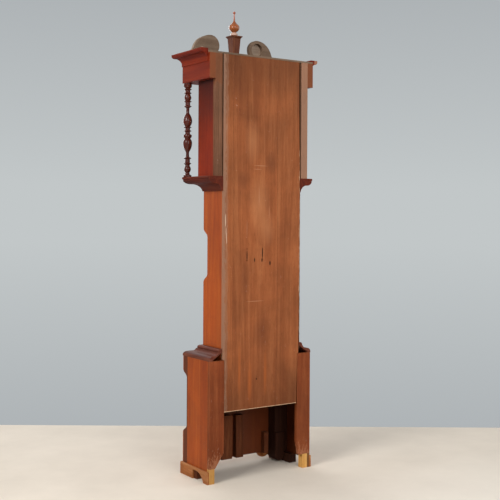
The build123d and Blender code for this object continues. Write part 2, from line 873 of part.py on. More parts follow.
with BuildPart() as scroll_boards:
    for side in (-1, 1):
        with BuildSketch(at(scroll_back_depth)):
            with BuildLine() as scroll_edge:
                scroll_top_edge()
                Polyline(
                    hollow_foot,
                    (scroll_tail_x, cornice_top + 8.0),
                    (scroll_tail_x, cornice_top),
                    (scroll_centre_x - 15.0, cornice_top),
                )
                ThreePointArc(
                    (scroll_centre_x - 15.0, cornice_top),
                    (scroll_centre_x - 6.0, scroll_centre_z - scroll_radius - 8.0),
                    (scroll_centre_x, scroll_centre_z - scroll_radius),
                )
                ThreePointArc(
                    (scroll_centre_x, scroll_centre_z - scroll_radius),
                    (scroll_centre_x - scroll_radius, scroll_centre_z),
                    (scroll_centre_x, scroll_top),
                )
                if side < 0:
                    mirror(about=Plane.YZ, mode=Mode.REPLACE)
            make_face()
            if side < 0:
                with Locations((-scroll_centre_x, scroll_centre_z)):
                    Circle(scroll_hole, mode=Mode.SUBTRACT)
        extrude(amount=scroll_board)
scroll_boards.part.label = "scroll_boards"
export_step(scroll_boards.part, "parts/scroll_boards.step")

def face_on(x, depth, z):
    """Half outline plane of a piece turned about a line from the back to the front."""
    return Plane(origin=(x, rear_y - depth, z), x_dir=(1, 0, 0), z_dir=(0, 0, -1))


def front_axis(x, z):
    """Turning axis of such a piece."""
    return Axis((x, 0, z), (0, -1, 0))


def upright(x, depth):
    """Half outline plane of a piece turned about an upright line."""
    return Plane(origin=(x, rear_y - depth, 0), x_dir=(1, 0, 0), z_dir=(0, -1, 0))


def upright_axis(x, depth):
    """Turning axis of such a piece."""
    return Axis((x, rear_y - depth, 0), (0, 0, 1))


scroll_front = scroll_back_depth + scroll_board
with BuildPart() as scroll_mouldings:
    with BuildLine(at(scroll_front)) as neck_run:
        scroll_top_edge()
    run_start = Plane(
        origin=(scroll_centre_x, rear_y - scroll_front, scroll_top), x_dir=(0, -1, 0), z_dir=(1, 0, 0)
    )
    with BuildSketch(run_start):
        with BuildLine():
            front = neck_moulding_thickness
            Polyline(
                (0, neck_moulding_width),
                (0, 0),
                (front, 0),
                (front, 3.0),
                (front - 3.5, 4.5),
                (front - 5.0, 8.0),
                (front - 5.0, neck_moulding_width),
                (0, neck_moulding_width),
            )
        make_face()
    sweep(path=neck_run.wire())
    mirror(about=Plane.YZ)
    for side in (-1, 1):
        with BuildSketch(face_on(side * scroll_centre_x, scroll_front, scroll_centre_z)):
            with BuildLine():
                turned_outline(
                    (
                        (roundel_radius, 0, 0),
                        (roundel_radius, 4.0, 0),
                        (roundel_radius - 7.0, roundel_thickness, 1.5),
                        (roundel_radius - 11.0, 5.0, 0),
                        (15.0, 5.0, 0),
                        (11.0, roundel_thickness, 1.0),
                    )
                )
            make_face()
        revolve(axis=front_axis(side * scroll_centre_x, scroll_centre_z))
scroll_mouldings.part.label = "scroll_mouldings"
export_step(scroll_mouldings.part, "parts/scroll_mouldings.step")

# Tapered square pedestal with a coved cap, and the turned finial on it
with BuildPart() as pedestal:
    pedestal_middle = (0, rear_y - pedestal_depth)
    cap_bottom = pedestal_top - pedestal_cap_height
    for low, high, lower_side, upper_side in (
        (cornice_top, cornice_top + 8.0, pedestal_foot + 10.0, pedestal_foot + 6.0),
        (cornice_top + 8.0, cap_bottom, pedestal_foot, pedestal_head),
        (cap_bottom, pedestal_top - 5.0, pedestal_head, pedestal_cap - 3.0),
        (pedestal_top - 5.0, pedestal_top, pedestal_cap, pedestal_cap),
    ):
        with BuildSketch(Plane.XY.offset(low)):
            with Locations(pedestal_middle):
                Rectangle(lower_side, lower_side)
        with BuildSketch(Plane.XY.offset(high)):
            with Locations(pedestal_middle):
                Rectangle(upper_side, upper_side)
        loft()
    foot_back = pedestal_depth - pedestal_foot / 2 - 5.0
    board((-19.0, 19.0), (foot_back, hood_depth), (hood_top, cornice_top))
pedestal.part.label = "pedestal"
export_step(pedestal.part, "parts/pedestal.step")

with BuildPart() as finial:
    with BuildSketch(upright(0, pedestal_depth)):
        with BuildLine():
            turned_outline(
                (
                    (finial_ring_radius - 4.5, pedestal_top, 0),
                    (finial_ring_radius - 4.5, pedestal_top + 17.0, 4.5),
                    (10.0, pedestal_top + 20.0, 0),
                    (finial_ball_radius, pedestal_top + 44.0, 5.0),
                    (finial_ball_radius - 8.0, pedestal_top + 60.0, 2.5),
                    (8.0, pedestal_top + 72.0, 0),
                    (4.5, pedestal_top + 84.0, -1.5),
                    (3.0, total_height - 14.0, 0),
                    (1.0, total_height, 6.0),
                )
            )
        make_face()
    revolve(axis=upright_axis(0, pedestal_depth))
finial.part.label = "finial"
export_step(finial.part, "parts/finial.step")

# Two ring-turned columns that stand free at the front corners of the hood
column_x = hood_half - column_inset + 3.0
column_depth = hood_depth - column_inset - 1.5
column_rings = (66.0, 92.0, 225.0, 243.0, 345.0, 369.0, 410.0, 428.0)


def column_band(height, radius, waist, half=5.0):
    """A turned ring between two waists."""
    return ((waist, height - half, 0), (radius, height, 0), (waist, height + half, 0))


column_length = frieze_bottom - hood_floor
shaft = column_neck + 4.0
column_outline = [(column_ring, 0, 0), (column_ring, 9.0, 0), (shaft, 13.0, 0), (shaft - 2.0, 22.0, 0)]
column_outline += [(column_neck + 9.0, 38.0, 1.5), (shaft - 1.0, 54.0, 1.5)]
column_outline += column_band(column_rings[0], column_ring - 1.0, shaft)
column_outline += column_band(column_rings[1], column_ring - 1.0, shaft)
column_outline += [(column_neck, 103.0, 0), (column_neck, 122.0, 0)]
column_outline += [(column_vase, 168.0, 4.0), (shaft + 2.0, 188.0, 2.0)]
column_outline += [(column_ring, 196.0, 0), (column_ring, 206.0, 0), (shaft, 211.0, 0)]
column_outline += column_band(column_rings[2], column_ring - 1.0, shaft)
column_outline += column_band(column_rings[3], column_ring - 1.0, shaft, 4.0)
column_outline += [(column_vase, 271.0, 2.0), (column_neck, 312.0, 3.5), (column_neck, 336.0, 0)]
column_outline += column_band(column_rings[4], column_ring - 1.0, shaft)
column_outline += column_band(column_rings[5], column_ring - 1.0, shaft)
column_outline += [(column_neck + 10.0, 389.0, 1.5)]
column_outline += column_band(column_rings[6], column_ring - 1.0, shaft)
column_outline += column_band(column_rings[7], column_ring - 1.0, shaft)
column_outline += [(column_ring, 440.0, 0), (column_ring, column_length, 0)]
column_outline = [(radius, hood_floor + height, curve) for radius, height, curve in column_outline]

with BuildPart() as columns:
    with BuildSketch(upright(column_x, column_depth)):
        with BuildLine():
            turned_outline(column_outline)
        make_face()
    revolve(axis=upright_axis(column_x, column_depth))
    mirror(about=Plane.YZ)
columns.part.label = "columns"
export_step(columns.part, "parts/columns.step")

# Hood door: a frame with a pane, hung at the right

hood_door_low = hood_floor + hood_door_gap
hood_door_high = frieze_bottom - hood_door_gap
with BuildPart() as hood_door_frame:
    with BuildSketch(at(door_back_depth)):
        with Locations((0, door_middle)):
            Rectangle(hood_door_width, hood_door_high - hood_door_low)
            Rectangle(dial_opening, dial_opening, mode=Mode.SUBTRACT)
    extrude(amount=hood_door_thickness)
    with BuildSketch(at(door_back_depth)):
        with Locations((0, door_middle)):
            Rectangle(dial_opening + 2 * glass_rebate, dial_opening + 2 * glass_rebate)
    extrude(amount=glass_rebate, mode=Mode.SUBTRACT)
    door_front = hood_door_frame.faces().sort_by(Axis.Y)[0]
    chamfer(door_front.inner_wires()[0].edges(), 6.0)
    chamfer(hood_door_frame.faces().sort_by(Axis.Y)[0].outer_wire().edges(), 1.5)
hood_door_frame.part.label = "hood_door_frame"
export_step(hood_door_frame.part, "parts/hood_door_frame.step")

with BuildPart() as hood_door_glass:
    pane = dial_opening + 2 * glass_rebate - 1.0
    with BuildSketch(at(door_back_depth + glass_rebate - glass_thickness)):
        with Locations((0, door_middle)):
            Rectangle(pane, pane)
    extrude(amount=glass_thickness)
hood_door_glass.part.label = "hood_door_glass"
export_step(hood_door_glass.part, "parts/hood_door_glass.step")

knob_x = 16.0 - hood_door_half
with BuildPart() as hood_door_knob:
    with BuildSketch(face_on(knob_x, hood_front_depth, door_middle)):
        with BuildLine():
            turned_outline(((9.0, 0, 0), (9.0, 1.5, 0), (4.0, 3.0, 0), (4.0, 7.0, 0), (5.0, 16.0, 4.5)))
        make_face()
    revolve(axis=front_axis(knob_x, door_middle))
hood_door_knob.part.label = "hood_door_knob"
export_step(hood_door_knob.part, "parts/hood_door_knob.step")

hood_hinge_radius = 3.0
hood_hinge_x = hood_door_half + hood_door_gap / 2
hood_hinge_depth = hood_front_depth + hood_hinge_radius
hood_hinge_height = 48.0
hood_hinge_heights = (hood_door_low + 60.0, hood_door_high - 60.0)

with BuildPart() as hood_hinge_leaves:
    for height in hood_hinge_heights:
        for share in (-1, 1):
            knuckle_z = height + share * hood_hinge_height / 3
            with BuildSketch(Plane.XY.offset(knuckle_z - hood_hinge_height / 6 + 0.2)):
                with Locations((hood_hinge_x, rear_y - hood_hinge_depth)):
                    Circle(hood_hinge_radius)
                with Locations((hood_hinge_x + 8.0, rear_y - hood_front_depth - 0.6)):
                    Rectangle(16.0, 1.2)
            extrude(amount=hood_hinge_height / 3 - 0.4)
        with BuildSketch(Plane.XY.offset(height - hood_hinge_height / 2 + 0.2)):
            with Locations((hood_hinge_x, rear_y - hood_hinge_depth)):
                Circle(hinge_pin_radius)
        extrude(amount=hood_hinge_height - 0.4)
hood_hinge_leaves.part.label = "hood_hinge_leaves"
export_step(hood_hinge_leaves.part, "parts/hood_hinge_leaves.step")

with BuildPart() as hood_door_hinges:
    for height in hood_hinge_heights:
        with BuildSketch(Plane.XY.offset(height - hood_hinge_height / 6 + 0.2)):
            with Locations((hood_hinge_x, rear_y - hood_hinge_depth)):
                Circle(hood_hinge_radius)
            with Locations((hood_hinge_x - 9.0, rear_y - hood_front_depth - 0.6)):
                Rectangle(18.0, 1.2)
            with Locations((hood_hinge_x, rear_y - hood_hinge_depth)):
                Circle(hinge_pin_radius + running_fit, mode=Mode.SUBTRACT)
        extrude(amount=hood_hinge_height / 3 - 0.4)
hood_door_hinges.part.label = "hood_door_hinges"
export_step(hood_door_hinges.part, "parts/hood_door_hinges.step")

# Seatboard and the movement's two plates

line_x = great_x - barrel_radius - line_radius - 0.3
barrel_back = movement_back + plate_thickness + 12.0
line_depth = barrel_back + barrel_length / 2
weight_x = line_x + pulley_radius
seat_back = movement_back - 4.0
seat_front = front_plate_front + 11.0

with BuildPart() as seatboard:
    board((2.0 - trunk_half, trunk_half - 2.0), (seat_back, seat_front), (seat_bottom, seat_top))
    with Locations((line_x, rear_y - line_depth, seat_bottom), (-line_x, rear_y - line_depth, seat_bottom)):
        Hole(4.0, depth=3 * seatboard_thickness)
seatboard.part.label = "seatboard"
export_step(seatboard.part, "parts/seatboard.step")


def movement_plate(depth):
    """One plate of the movement with the pivot holes of all the arbors."""
    with BuildSketch(at(depth)) as plate:
        with Locations((0, dial_centre + (plate_above - plate_below) / 2)):
            RectangleRounded(plate_width, plate_above + plate_below, 5.0)
        with Locations((0, dial_centre)):
            Circle(centre_arbor_radius + running_fit, mode=Mode.SUBTRACT)
        for x, height, radius in arbor_places:
            with arbor_place(x, height):
                Circle(radius + running_fit, mode=Mode.SUBTRACT)
    extrude(plate.sketch, amount=plate_thickness)


minute_arbor_radius = 1.2
with BuildPart() as front_plate:
    movement_plate(front_plate_back)
    with BuildSketch(at(front_plate_back)):
        with arbor_place(0, -motion_distance):
            Circle(minute_arbor_radius + running_fit)
    extrude(amount=plate_thickness, mode=Mode.SUBTRACT)
front_plate.part.label = "front_plate"
export_step(front_plate.part, "parts/front_plate.step")

pivot_z = dial_centre + pallet_height
pillar_radius = 4.5
pillar_places = (
    (-55.0, 12.0 - plate_below),
    (55.0, 12.0 - plate_below),
    (-40.0, plate_above - 12.0),
    (40.0, plate_above - 12.0),
)
with BuildPart() as back_plate:
    movement_plate(movement_back)
    for x, height in pillar_places:
        with BuildSketch(at(back_plate_front)):
            with Locations((x, dial_centre + height)):
                Circle(pillar_radius)
        extrude(amount=plate_gap)
    board((-13.0, 13.0), (pendulum_depth - 8.0, movement_back), (pivot_z + 2.0, pivot_z + 8.0))
    for side in (-1, 1):
        board(
            (side * 0.8, side * 9.0),
            (pendulum_depth - 6.0, pendulum_depth + 4.0),
            (pivot_z - 3.0, pivot_z + 2.0),
        )
back_plate.part.label = "back_plate"
export_step(back_plate.part, "parts/back_plate.step")

# Going train and motion work


def disc(x, height, depth, thickness, radius, bore=0.0):
    """Plain disc or arbor on an upright plane."""
    with BuildSketch(at(depth)) as face:
        with arbor_place(x, height):
            Circle(radius)
            if bore:
                Circle(bore, mode=Mode.SUBTRACT)
    extrude(face.sketch, amount=thickness)


def toothed(x, height, depth, thickness, corners, bore=0.0):
    """Toothed disc from its ring of corners."""
    with BuildSketch(at(depth)) as face:
        with arbor_place(x, height):
            Polygon(*corners, align=None)
            if bore:
                Circle(bore, mode=Mode.SUBTRACT)
    extrude(face.sketch, amount=thickness)


def gear_corners(teeth, module, phase):
    """Corners of a wheel or pinion with pointed teeth."""
    return tooth_points(teeth, wheel_tip(teeth, module), wheel_root(teeth, module), phase)


great_wheel_depth = barrel_back - great_wheel_thickness - 0.4
centre_pinion_depth = great_wheel_depth + (great_wheel_thickness - pinion_length) / 2
centre_wheel_depth = front_plate_back - 6.0
third_pinion_depth = front_plate_back - pinion_length - 0.5
third_wheel_depth = back_plate_front + 3.0
escape_wheel_depth = back_plate_front + 27.0
pivot_back = movement_back + 0.5
pivot_front = front_plate_front - 0.5
cannon_depth = front_plate_front + 2.0
hour_wheel_depth = cannon_depth + 4.0
hour_pipe_end = dial_depth + dial_thickness + 2.6
cannon_pipe_end = hour_pipe_end + 4.0
cannon_pipe_radius = 4.0
hour_pipe_radius = 5.5
arbor_end = cannon_pipe_end + 4.0

with BuildPart() as going_great_wheel:
    toothed(
        great_x,
        -great_drop,
        great_wheel_depth,
        great_wheel_thickness,
        gear_corners(great_teeth, great_module, great_phase),
        great_arbor_radius + running_fit,
    )
going_great_wheel.part.label = "going_great_wheel"
export_step(going_great_wheel.part, "parts/going_great_wheel.step")


def barrel_with_arbor(x):
    """Barrel, its end flange and the arbor with its winding square."""
    disc(x, -great_drop, barrel_back, barrel_length - barrel_flange, barrel_radius)
    disc(x, -great_drop, barrel_back + barrel_length - barrel_flange, barrel_flange, barrel_radius + 2.0)
    disc(x, -great_drop, pivot_back, front_plate_front + 2.0 - pivot_back, great_arbor_radius)
    with BuildSketch(at(front_plate_front + 2.0)) as square:
        with arbor_place(x, -great_drop):
            Rectangle(4.2, 4.2)
    extrude(square.sketch, amount=dial_depth - front_plate_front - 4.0)


with BuildPart() as going_barrel:
    barrel_with_arbor(great_x)
going_barrel.part.label = "going_barrel"
export_step(going_barrel.part, "parts/going_barrel.step")

with BuildPart() as centre_wheel:
    toothed(
        0,
        0,
        centre_wheel_depth,
        wheel_thickness,
        gear_corners(centre_teeth, centre_module, centre_phase),
    )
    toothed(
        0,
        0,
        centre_pinion_depth,
        pinion_length,
        gear_corners(centre_pinion_leaves, great_module, centre_phase),
    )
    disc(0, 0, pivot_back, arbor_end - pivot_back, centre_arbor_radius)
    toothed(0, 0, cannon_depth, wheel_thickness, gear_corners(motion_teeth, motion_module, 0.0))
    pipe_back = front_plate_front + 0.5
    disc(0, 0, pipe_back, cannon_pipe_end - pipe_back, cannon_pipe_radius)
centre_wheel.part.label = "centre_wheel"
export_step(centre_wheel.part, "parts/centre_wheel.step")

with BuildPart() as minute_wheel:
    toothed(
        0,
        -motion_distance,
        cannon_depth,
        wheel_thickness,
        gear_corners(motion_teeth, motion_module, minute_phase),
    )
    toothed(
        0,
        -motion_distance,
        cannon_depth,
        hour_wheel_depth + 4.0 - cannon_depth,
        gear_corners(minute_pinion_leaves, hour_module, minute_phase),
    )
    disc(0, -motion_distance, front_plate_back, cannon_depth - front_plate_back, minute_arbor_radius)
minute_wheel.part.label = "minute_wheel"
export_step(minute_wheel.part, "parts/minute_wheel.step")

with BuildPart() as hour_wheel:
    toothed(
        0,
        0,
        hour_wheel_depth,
        wheel_thickness,
        gear_corners(hour_teeth, hour_module, hour_phase),
        cannon_pipe_radius + running_fit,
    )
    disc(
        0,
        0,
        hour_wheel_depth,
        hour_pipe_end - hour_wheel_depth,
        hour_pipe_radius,
        cannon_pipe_radius + running_fit,
    )
hour_wheel.part.label = "hour_wheel"
export_step(hour_wheel.part, "parts/hour_wheel.step")

with BuildPart() as third_wheel:
    toothed(
        third_x,
        third_up,
        third_wheel_depth,
        wheel_thickness,
        gear_corners(third_teeth, third_module, third_pinion_phase),
    )
    toothed(
        third_x,
        third_up,
        third_pinion_depth,
        pinion_length,
        gear_corners(third_pinion_leaves, centre_module, third_pinion_phase),
    )
    disc(third_x, third_up, pivot_back, pivot_front - pivot_back, pivot_radius)
third_wheel.part.label = "third_wheel"
export_step(third_wheel.part, "parts/third_wheel.step")

seconds_hand_depth = dial_depth + dial_thickness + 1.0
with BuildPart() as escape_wheel:
    toothed(
        0,
        seconds_height,
        escape_wheel_depth,
        wheel_thickness,
        tooth_points(escape_teeth, escape_radius, escape_radius - 3.6, 0.0, 0.12),
    )
    toothed(
        0,
        seconds_height,
        third_wheel_depth + (wheel_thickness - pinion_length) / 2 + 1.5,
        pinion_length,
        gear_corners(escape_pinion_leaves, third_module, escape_pinion_phase),
    )
    disc(0, seconds_height, pivot_back, seconds_hand_depth - pivot_back, pivot_radius)
escape_wheel.part.label = "escape_wheel"
export_step(escape_wheel.part, "parts/escape_wheel.step")

# Anchor pallets with their arbor and crutch
pallet_inner = escape_radius + 3.0
pallet_outer = escape_radius + 7.5
with BuildPart() as pallets:
    with BuildSketch(at(escape_wheel_depth - 1.0)):
        with arbor_place(0, pallet_height):
            Circle(4.5)
        with BuildLine():
            wheel_middle = (0, dial_centre + seconds_height)
            outer_claw = CenterArc(wheel_middle, pallet_outer, 35.0, 110.0)
            inner_claw = CenterArc(wheel_middle, pallet_inner, 35.0, 110.0)
            Line(outer_claw @ 0, inner_claw @ 0)
            Line(outer_claw @ 1, inner_claw @ 1)
        make_face()
    extrude(amount=wheel_thickness + 2.0)
    crutch_back = movement_back - 7.0
    disc(0, pallet_height, crutch_back, pivot_front - crutch_back, pivot_radius)
    fork_height = dial_centre + pallet_height - crutch_length
    board(
        (-1.5, 1.5), (crutch_back, crutch_back + 2.0), (fork_height, dial_centre + pallet_height + 1.5)
    )
    board((-6.0, 6.0), (crutch_back, crutch_back + 2.0), (fork_height - 5.0, fork_height))
    for side in (-1, 1):
        board(
            (side * (rod_radius + 0.8), side * (rod_radius + 2.6)),
            (pendulum_depth - 5.0, crutch_back + 2.0),
            (fork_height - 5.0, fork_height),
        )
pallets.part.label = "pallets"
export_step(pallets.part, "parts/pallets.step")

# Strike side: great wheel with barrel, hammer and bell

with BuildPart() as strike_great_wheel:
    toothed(
        strike_x,
        -great_drop,
        great_wheel_depth + 0.4,
        great_wheel_thickness,
        gear_corners(strike_great_teeth, strike_module, 0.0),
    )
    barrel_with_arbor(strike_x)
strike_great_wheel.part.label = "strike_great_wheel"
export_step(strike_great_wheel.part, "parts/strike_great_wheel.step")

hammer_head = bell_mouth_height + 8.0
with BuildPart() as hammer:
    disc(hammer_x, hammer_up, pivot_back, pivot_front - pivot_back, pivot_radius)
    board(
        (hammer_x - 1.5, hammer_x + 1.5),
        (bell_depth - 1.5, bell_depth + 1.5),
        (dial_centre + hammer_up, dial_centre + hammer_head + 7.0),
    )
    with BuildSketch(Plane.YZ.offset(hammer_x - 8.0)):
        with Locations((rear_y - bell_depth, dial_centre + hammer_head)):
            Circle(6.0)
    extrude(amount=15.0)
hammer.part.label = "hammer"
export_step(hammer.part, "parts/hammer.step")

bell_profile = ((1.0, 0), (0.95, 0.32), (0.84, 0.6), (0.62, 0.87), (0.3, 1.0))
bell_mouth = dial_centre + bell_mouth_height
bell_crown = bell_mouth + bell_height
with BuildPart() as bell:
    with BuildSketch(upright(0, bell_depth)):
        with BuildLine():
            outer = [
                (bell_radius * across, bell_mouth + bell_height * up)
                for across, up in bell_profile
            ]
            inner = [(radius - bell_wall, z - bell_wall * 0.6) for radius, z in outer[1:-1]]
            Polyline(
                *outer,
                (3.3, bell_crown),
                (3.3, bell_crown - bell_wall),
                (bell_radius * bell_profile[-1][0], bell_crown - bell_wall),
                *inner[::-1],
                (bell_radius - bell_wall, bell_mouth),
                outer[0],
            )
        make_face()
    revolve(axis=upright_axis(0, bell_depth))
bell.part.label = "bell"
export_step(bell.part, "parts/bell.step")

with BuildPart() as bell_stand:
    arm_top = dial_centre + plate_above - 4.0
    board((-6.0, 6.0), (back_plate_front, bell_depth + 6.0), (arm_top - 3.0, arm_top))
    with BuildSketch(Plane.XY.offset(arm_top)):
        with Locations((0, rear_y - bell_depth)):
            Circle(3.0)
    extrude(amount=bell_crown + 8.0 - arm_top)
    for height, thickness in ((bell_crown - bell_wall - 4.0, 4.0), (bell_crown, 5.0)):
        with BuildSketch(Plane.XY.offset(height)):
            with Locations((0, rear_y - bell_depth)):
                RegularPolygon(6.5, 6)
        extrude(amount=thickness)
bell_stand.part.label = "bell_stand"
export_step(bell_stand.part, "parts/bell_stand.step")

# Dial and hands

with BuildPart() as dial:
    with BuildSketch(at(dial_depth)):
        with arbor_place(0, 0):
            Rectangle(dial_size, dial_size)
            Circle(dial_centre_hole, mode=Mode.SUBTRACT)
        with arbor_place(0, seconds_height):
            Circle(seconds_hole, mode=Mode.SUBTRACT)
        for x in (great_x, strike_x):
            with arbor_place(x, -great_drop):
                Circle(winding_hole_radius, mode=Mode.SUBTRACT)
    extrude(amount=dial_thickness)
    for x in (-50.0, 50.0):
        for height in (16.0 - plate_below, plate_above - 26.0):
            disc(x, height, front_plate_front, dial_depth - front_plate_front, dial_foot_radius)
dial.part.label = "dial"
export_step(dial.part, "parts/dial.step")


def hand_corners(outline, clockwise):
    """Closed outline of a hand that points clockwise from twelve. Points are across and along."""
    mirrored = [(-across, along) for across, along in reversed(outline) if across]
    turn_by = radians(clockwise)
    return [
        (along * sin(turn_by) + across * cos(turn_by), along * cos(turn_by) - across * sin(turn_by))
        for across, along in outline + mirrored
    ]


def pointer(depth, height, outline, clockwise, hub, bore):
    """Flat hand with a round hub."""
    with BuildSketch(at(depth)) as shape:
        with arbor_place(0, height):
            Polygon(*hand_corners(outline, clockwise), align=None)
            Circle(hub)
            if bore:
                Circle(bore, mode=Mode.SUBTRACT)
    extrude(shape.sketch, amount=hand_thickness)


minute_turn = minutes_shown * 6.0
hour_turn = (hours_shown + minutes_shown / 60.0) * 30.0
seconds_turn = (minutes_shown * 60.0) % 60.0 * 6.0
with BuildPart() as hour_hand:
    length = hour_hand_length
    outline = [(2.6, -2.0), (2.2, 34.0), (6.5, 46.0), (8.0, 56.0), (5.0, 65.0), (1.6, 70.0), (0, length)]
    pointer(hour_pipe_end, 0, outline, hour_turn, 8.5, cannon_pipe_radius + running_fit)
hour_hand.part.label = "hour_hand"
export_step(hour_hand.part, "parts/hour_hand.step")

with BuildPart() as minute_hand:
    length = minute_hand_length
    outline = [(2.4, -2.0), (1.8, 70.0), (5.0, 80.0), (6.0, 88.0), (4.0, 96.0), (1.4, 102.0), (0, length)]
    pointer(cannon_pipe_end, 0, outline, minute_turn, 6.5, centre_arbor_radius + running_fit)
minute_hand.part.label = "minute_hand"
export_step(minute_hand.part, "parts/minute_hand.step")

with BuildPart() as seconds_hand:
    outline = [(1.6, -11.0), (0.8, 0), (0, seconds_hand_length)]
    pointer(seconds_hand_depth, seconds_height, outline, seconds_turn, 3.0, 0.0)
seconds_hand.part.label = "seconds_hand"
export_step(seconds_hand.part, "parts/seconds_hand.step")

# Pendulum

bob_z = pivot_z - pendulum_length
with BuildPart() as pendulum_rod:
    board(
        (-0.3, 0.3), (pendulum_depth - 4.0, pendulum_depth + 4.0), (pivot_z - 34.0, pivot_z + 1.0)
    )
    board((-3.5, 3.5), (pendulum_depth - 4.0, pendulum_depth + 4.0), (pivot_z - 44.0, pivot_z - 30.0))
    rod_end = bob_z - bob_radius - 34.0
    with BuildSketch(Plane.XY.offset(rod_end)):
        with Locations((0, rear_y - pendulum_depth)):
            Circle(rod_radius)
    extrude(amount=pivot_z - 44.0 - rod_end)
    nut_top = bob_z - bob_radius
    with BuildSketch(Plane.XY.offset(nut_top - nut_height)):
        with Locations((0, rear_y - pendulum_depth)):
            RegularPolygon(nut_radius, 8)
    extrude(amount=nut_height)
pendulum_rod.part.label = "pendulum_rod"
export_step(pendulum_rod.part, "parts/pendulum_rod.step")

rim_half = rod_radius + 1.2
with BuildPart() as pendulum_bob:
    with BuildSketch(face_on(0, pendulum_depth, bob_z)):
        with BuildLine():
            turned_outline(
                (
                    (12.0, -bob_half_thickness, 0),
                    (bob_radius, -rim_half, 3.0),
                    (bob_radius, rim_half, 0),
                    (12.0, bob_half_thickness, 3.0),
                )
            )
        make_face()
    revolve(axis=front_axis(0, bob_z))
    with BuildSketch(Plane.XY.offset(bob_z - bob_radius - 1.0)):
        with Locations((0, rear_y - pendulum_depth)):
            Circle(rod_radius + 0.3)
    extrude(amount=2 * bob_radius + 2.0, mode=Mode.SUBTRACT)
pendulum_bob.part.label = "pendulum_bob"
export_step(pendulum_bob.part, "parts/pendulum_bob.step")

# Weights on pulleys, with their gut lines

pulley_z = seat_bottom - pulley_below_seat
pulley_rim = pulley_radius + 3.0
weight_top = pulley_z - pulley_rim - 24.0


def weight_at(x):
    """Iron weight with a stirrup that carries the pulley."""
    with BuildSketch(upright(x, line_depth)) as half_weight:
        with BuildLine():
            turned_outline(
                (
                    (weight_radius, weight_top - weight_height, 0),
                    (weight_radius, weight_top - 6.0, 0),
                    (weight_radius - 6.0, weight_top, 1.5),
                    (3.0, weight_top, 0),
                    (3.0, pulley_z - pulley_rim - 3.0, 0),
                )
            )
        make_face()
    revolve(half_weight.sketch, axis=upright_axis(x, line_depth))
    bridge = (pulley_z - pulley_rim - 5.0, pulley_z - pulley_rim - 3.0)
    half = pulley_width / 2
    board((x - 5.0, x + 5.0), (line_depth - half - 2.5, line_depth + half + 2.5), bridge)
    for side in (-1, 1):
        strap = (line_depth + side * (half + 0.5), line_depth + side * (half + 2.5))
        board((x - 5.0, x + 5.0), strap, (bridge[1], pulley_z + 6.0))
    with BuildSketch(at(line_depth - half - 2.5)) as axle:
        with Locations((x, pulley_z)):
            Circle(2.0)
    extrude(axle.sketch, amount=pulley_width + 5.0)


def pulley_at(x):
    """Grooved brass pulley."""
    half = pulley_width / 2
    with BuildSketch(face_on(x, line_depth, pulley_z)) as half_pulley:
        with BuildLine():
            Polyline(
                (2.0 + running_fit, -half),
                (pulley_rim, -half),
                (pulley_radius - line_radius - 0.4, -line_radius - 0.4),
                (pulley_radius - line_radius - 0.4, line_radius + 0.4),
                (pulley_rim, half),
                (2.0 + running_fit, half),
                close=True,
            )
        make_face()
    revolve(half_pulley.sketch, axis=front_axis(x, pulley_z))


def falls_at(places):
    """Hanging parts of a gut line between the pulley and the seatboard."""
    for x in places:
        with BuildSketch(Plane.XY.offset(pulley_z)) as fall:
            with Locations((x, rear_y - line_depth)):
                RegularPolygon(line_radius, 8)
        extrude(fall.sketch, amount=seat_bottom - pulley_z)


with BuildPart() as weight_going:
    weight_at(weight_x)
weight_going.part.label = "weight_going"
export_step(weight_going.part, "parts/weight_going.step")

with BuildPart() as weight_strike:
    weight_at(-weight_x)
weight_strike.part.label = "weight_strike"
export_step(weight_strike.part, "parts/weight_strike.step")

with BuildPart() as pulley_going:
    pulley_at(weight_x)
pulley_going.part.label = "pulley_going"
export_step(pulley_going.part, "parts/pulley_going.step")

with BuildPart() as pulley_strike:
    pulley_at(-weight_x)
pulley_strike.part.label = "pulley_strike"
export_step(pulley_strike.part, "parts/pulley_strike.step")

far_line_x = line_x + 2 * pulley_radius
with BuildPart() as gut_line_going:
    falls_at((line_x, far_line_x))
gut_line_going.part.label = "gut_line_going"
export_step(gut_line_going.part, "parts/gut_line_going.step")

with BuildPart() as gut_line_strike:
    falls_at((-line_x, -far_line_x))
gut_line_strike.part.label = "gut_line_strike"
export_step(gut_line_strike.part, "parts/gut_line_strike.step")
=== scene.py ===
import math

import bpy
from mathutils import Matrix, Vector


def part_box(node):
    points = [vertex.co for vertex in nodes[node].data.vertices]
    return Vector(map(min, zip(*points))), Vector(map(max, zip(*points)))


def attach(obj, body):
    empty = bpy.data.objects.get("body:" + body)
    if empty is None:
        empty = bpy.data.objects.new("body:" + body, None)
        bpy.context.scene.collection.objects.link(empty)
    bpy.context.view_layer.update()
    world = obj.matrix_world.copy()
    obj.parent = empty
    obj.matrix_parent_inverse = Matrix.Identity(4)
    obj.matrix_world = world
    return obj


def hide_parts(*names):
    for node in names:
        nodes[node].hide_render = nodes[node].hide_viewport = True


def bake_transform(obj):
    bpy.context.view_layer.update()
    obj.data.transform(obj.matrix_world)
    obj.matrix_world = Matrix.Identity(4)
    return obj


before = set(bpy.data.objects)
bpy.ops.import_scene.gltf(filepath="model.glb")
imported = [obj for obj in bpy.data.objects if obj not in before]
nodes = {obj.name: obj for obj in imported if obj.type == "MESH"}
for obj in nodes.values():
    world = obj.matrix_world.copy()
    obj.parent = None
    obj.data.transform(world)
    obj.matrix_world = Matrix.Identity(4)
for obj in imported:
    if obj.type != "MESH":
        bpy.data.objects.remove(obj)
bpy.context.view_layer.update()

# Backboard: three upright pine planks, planed by hand, stained brown and nailed to the case.
# The middle one has old screw holes where the clock was once fixed to walls; they are painted as dark
# spots, painted shade in the hollows.
# The right edge is split and ragged, and the left edge has a strip where old size has dried grey.


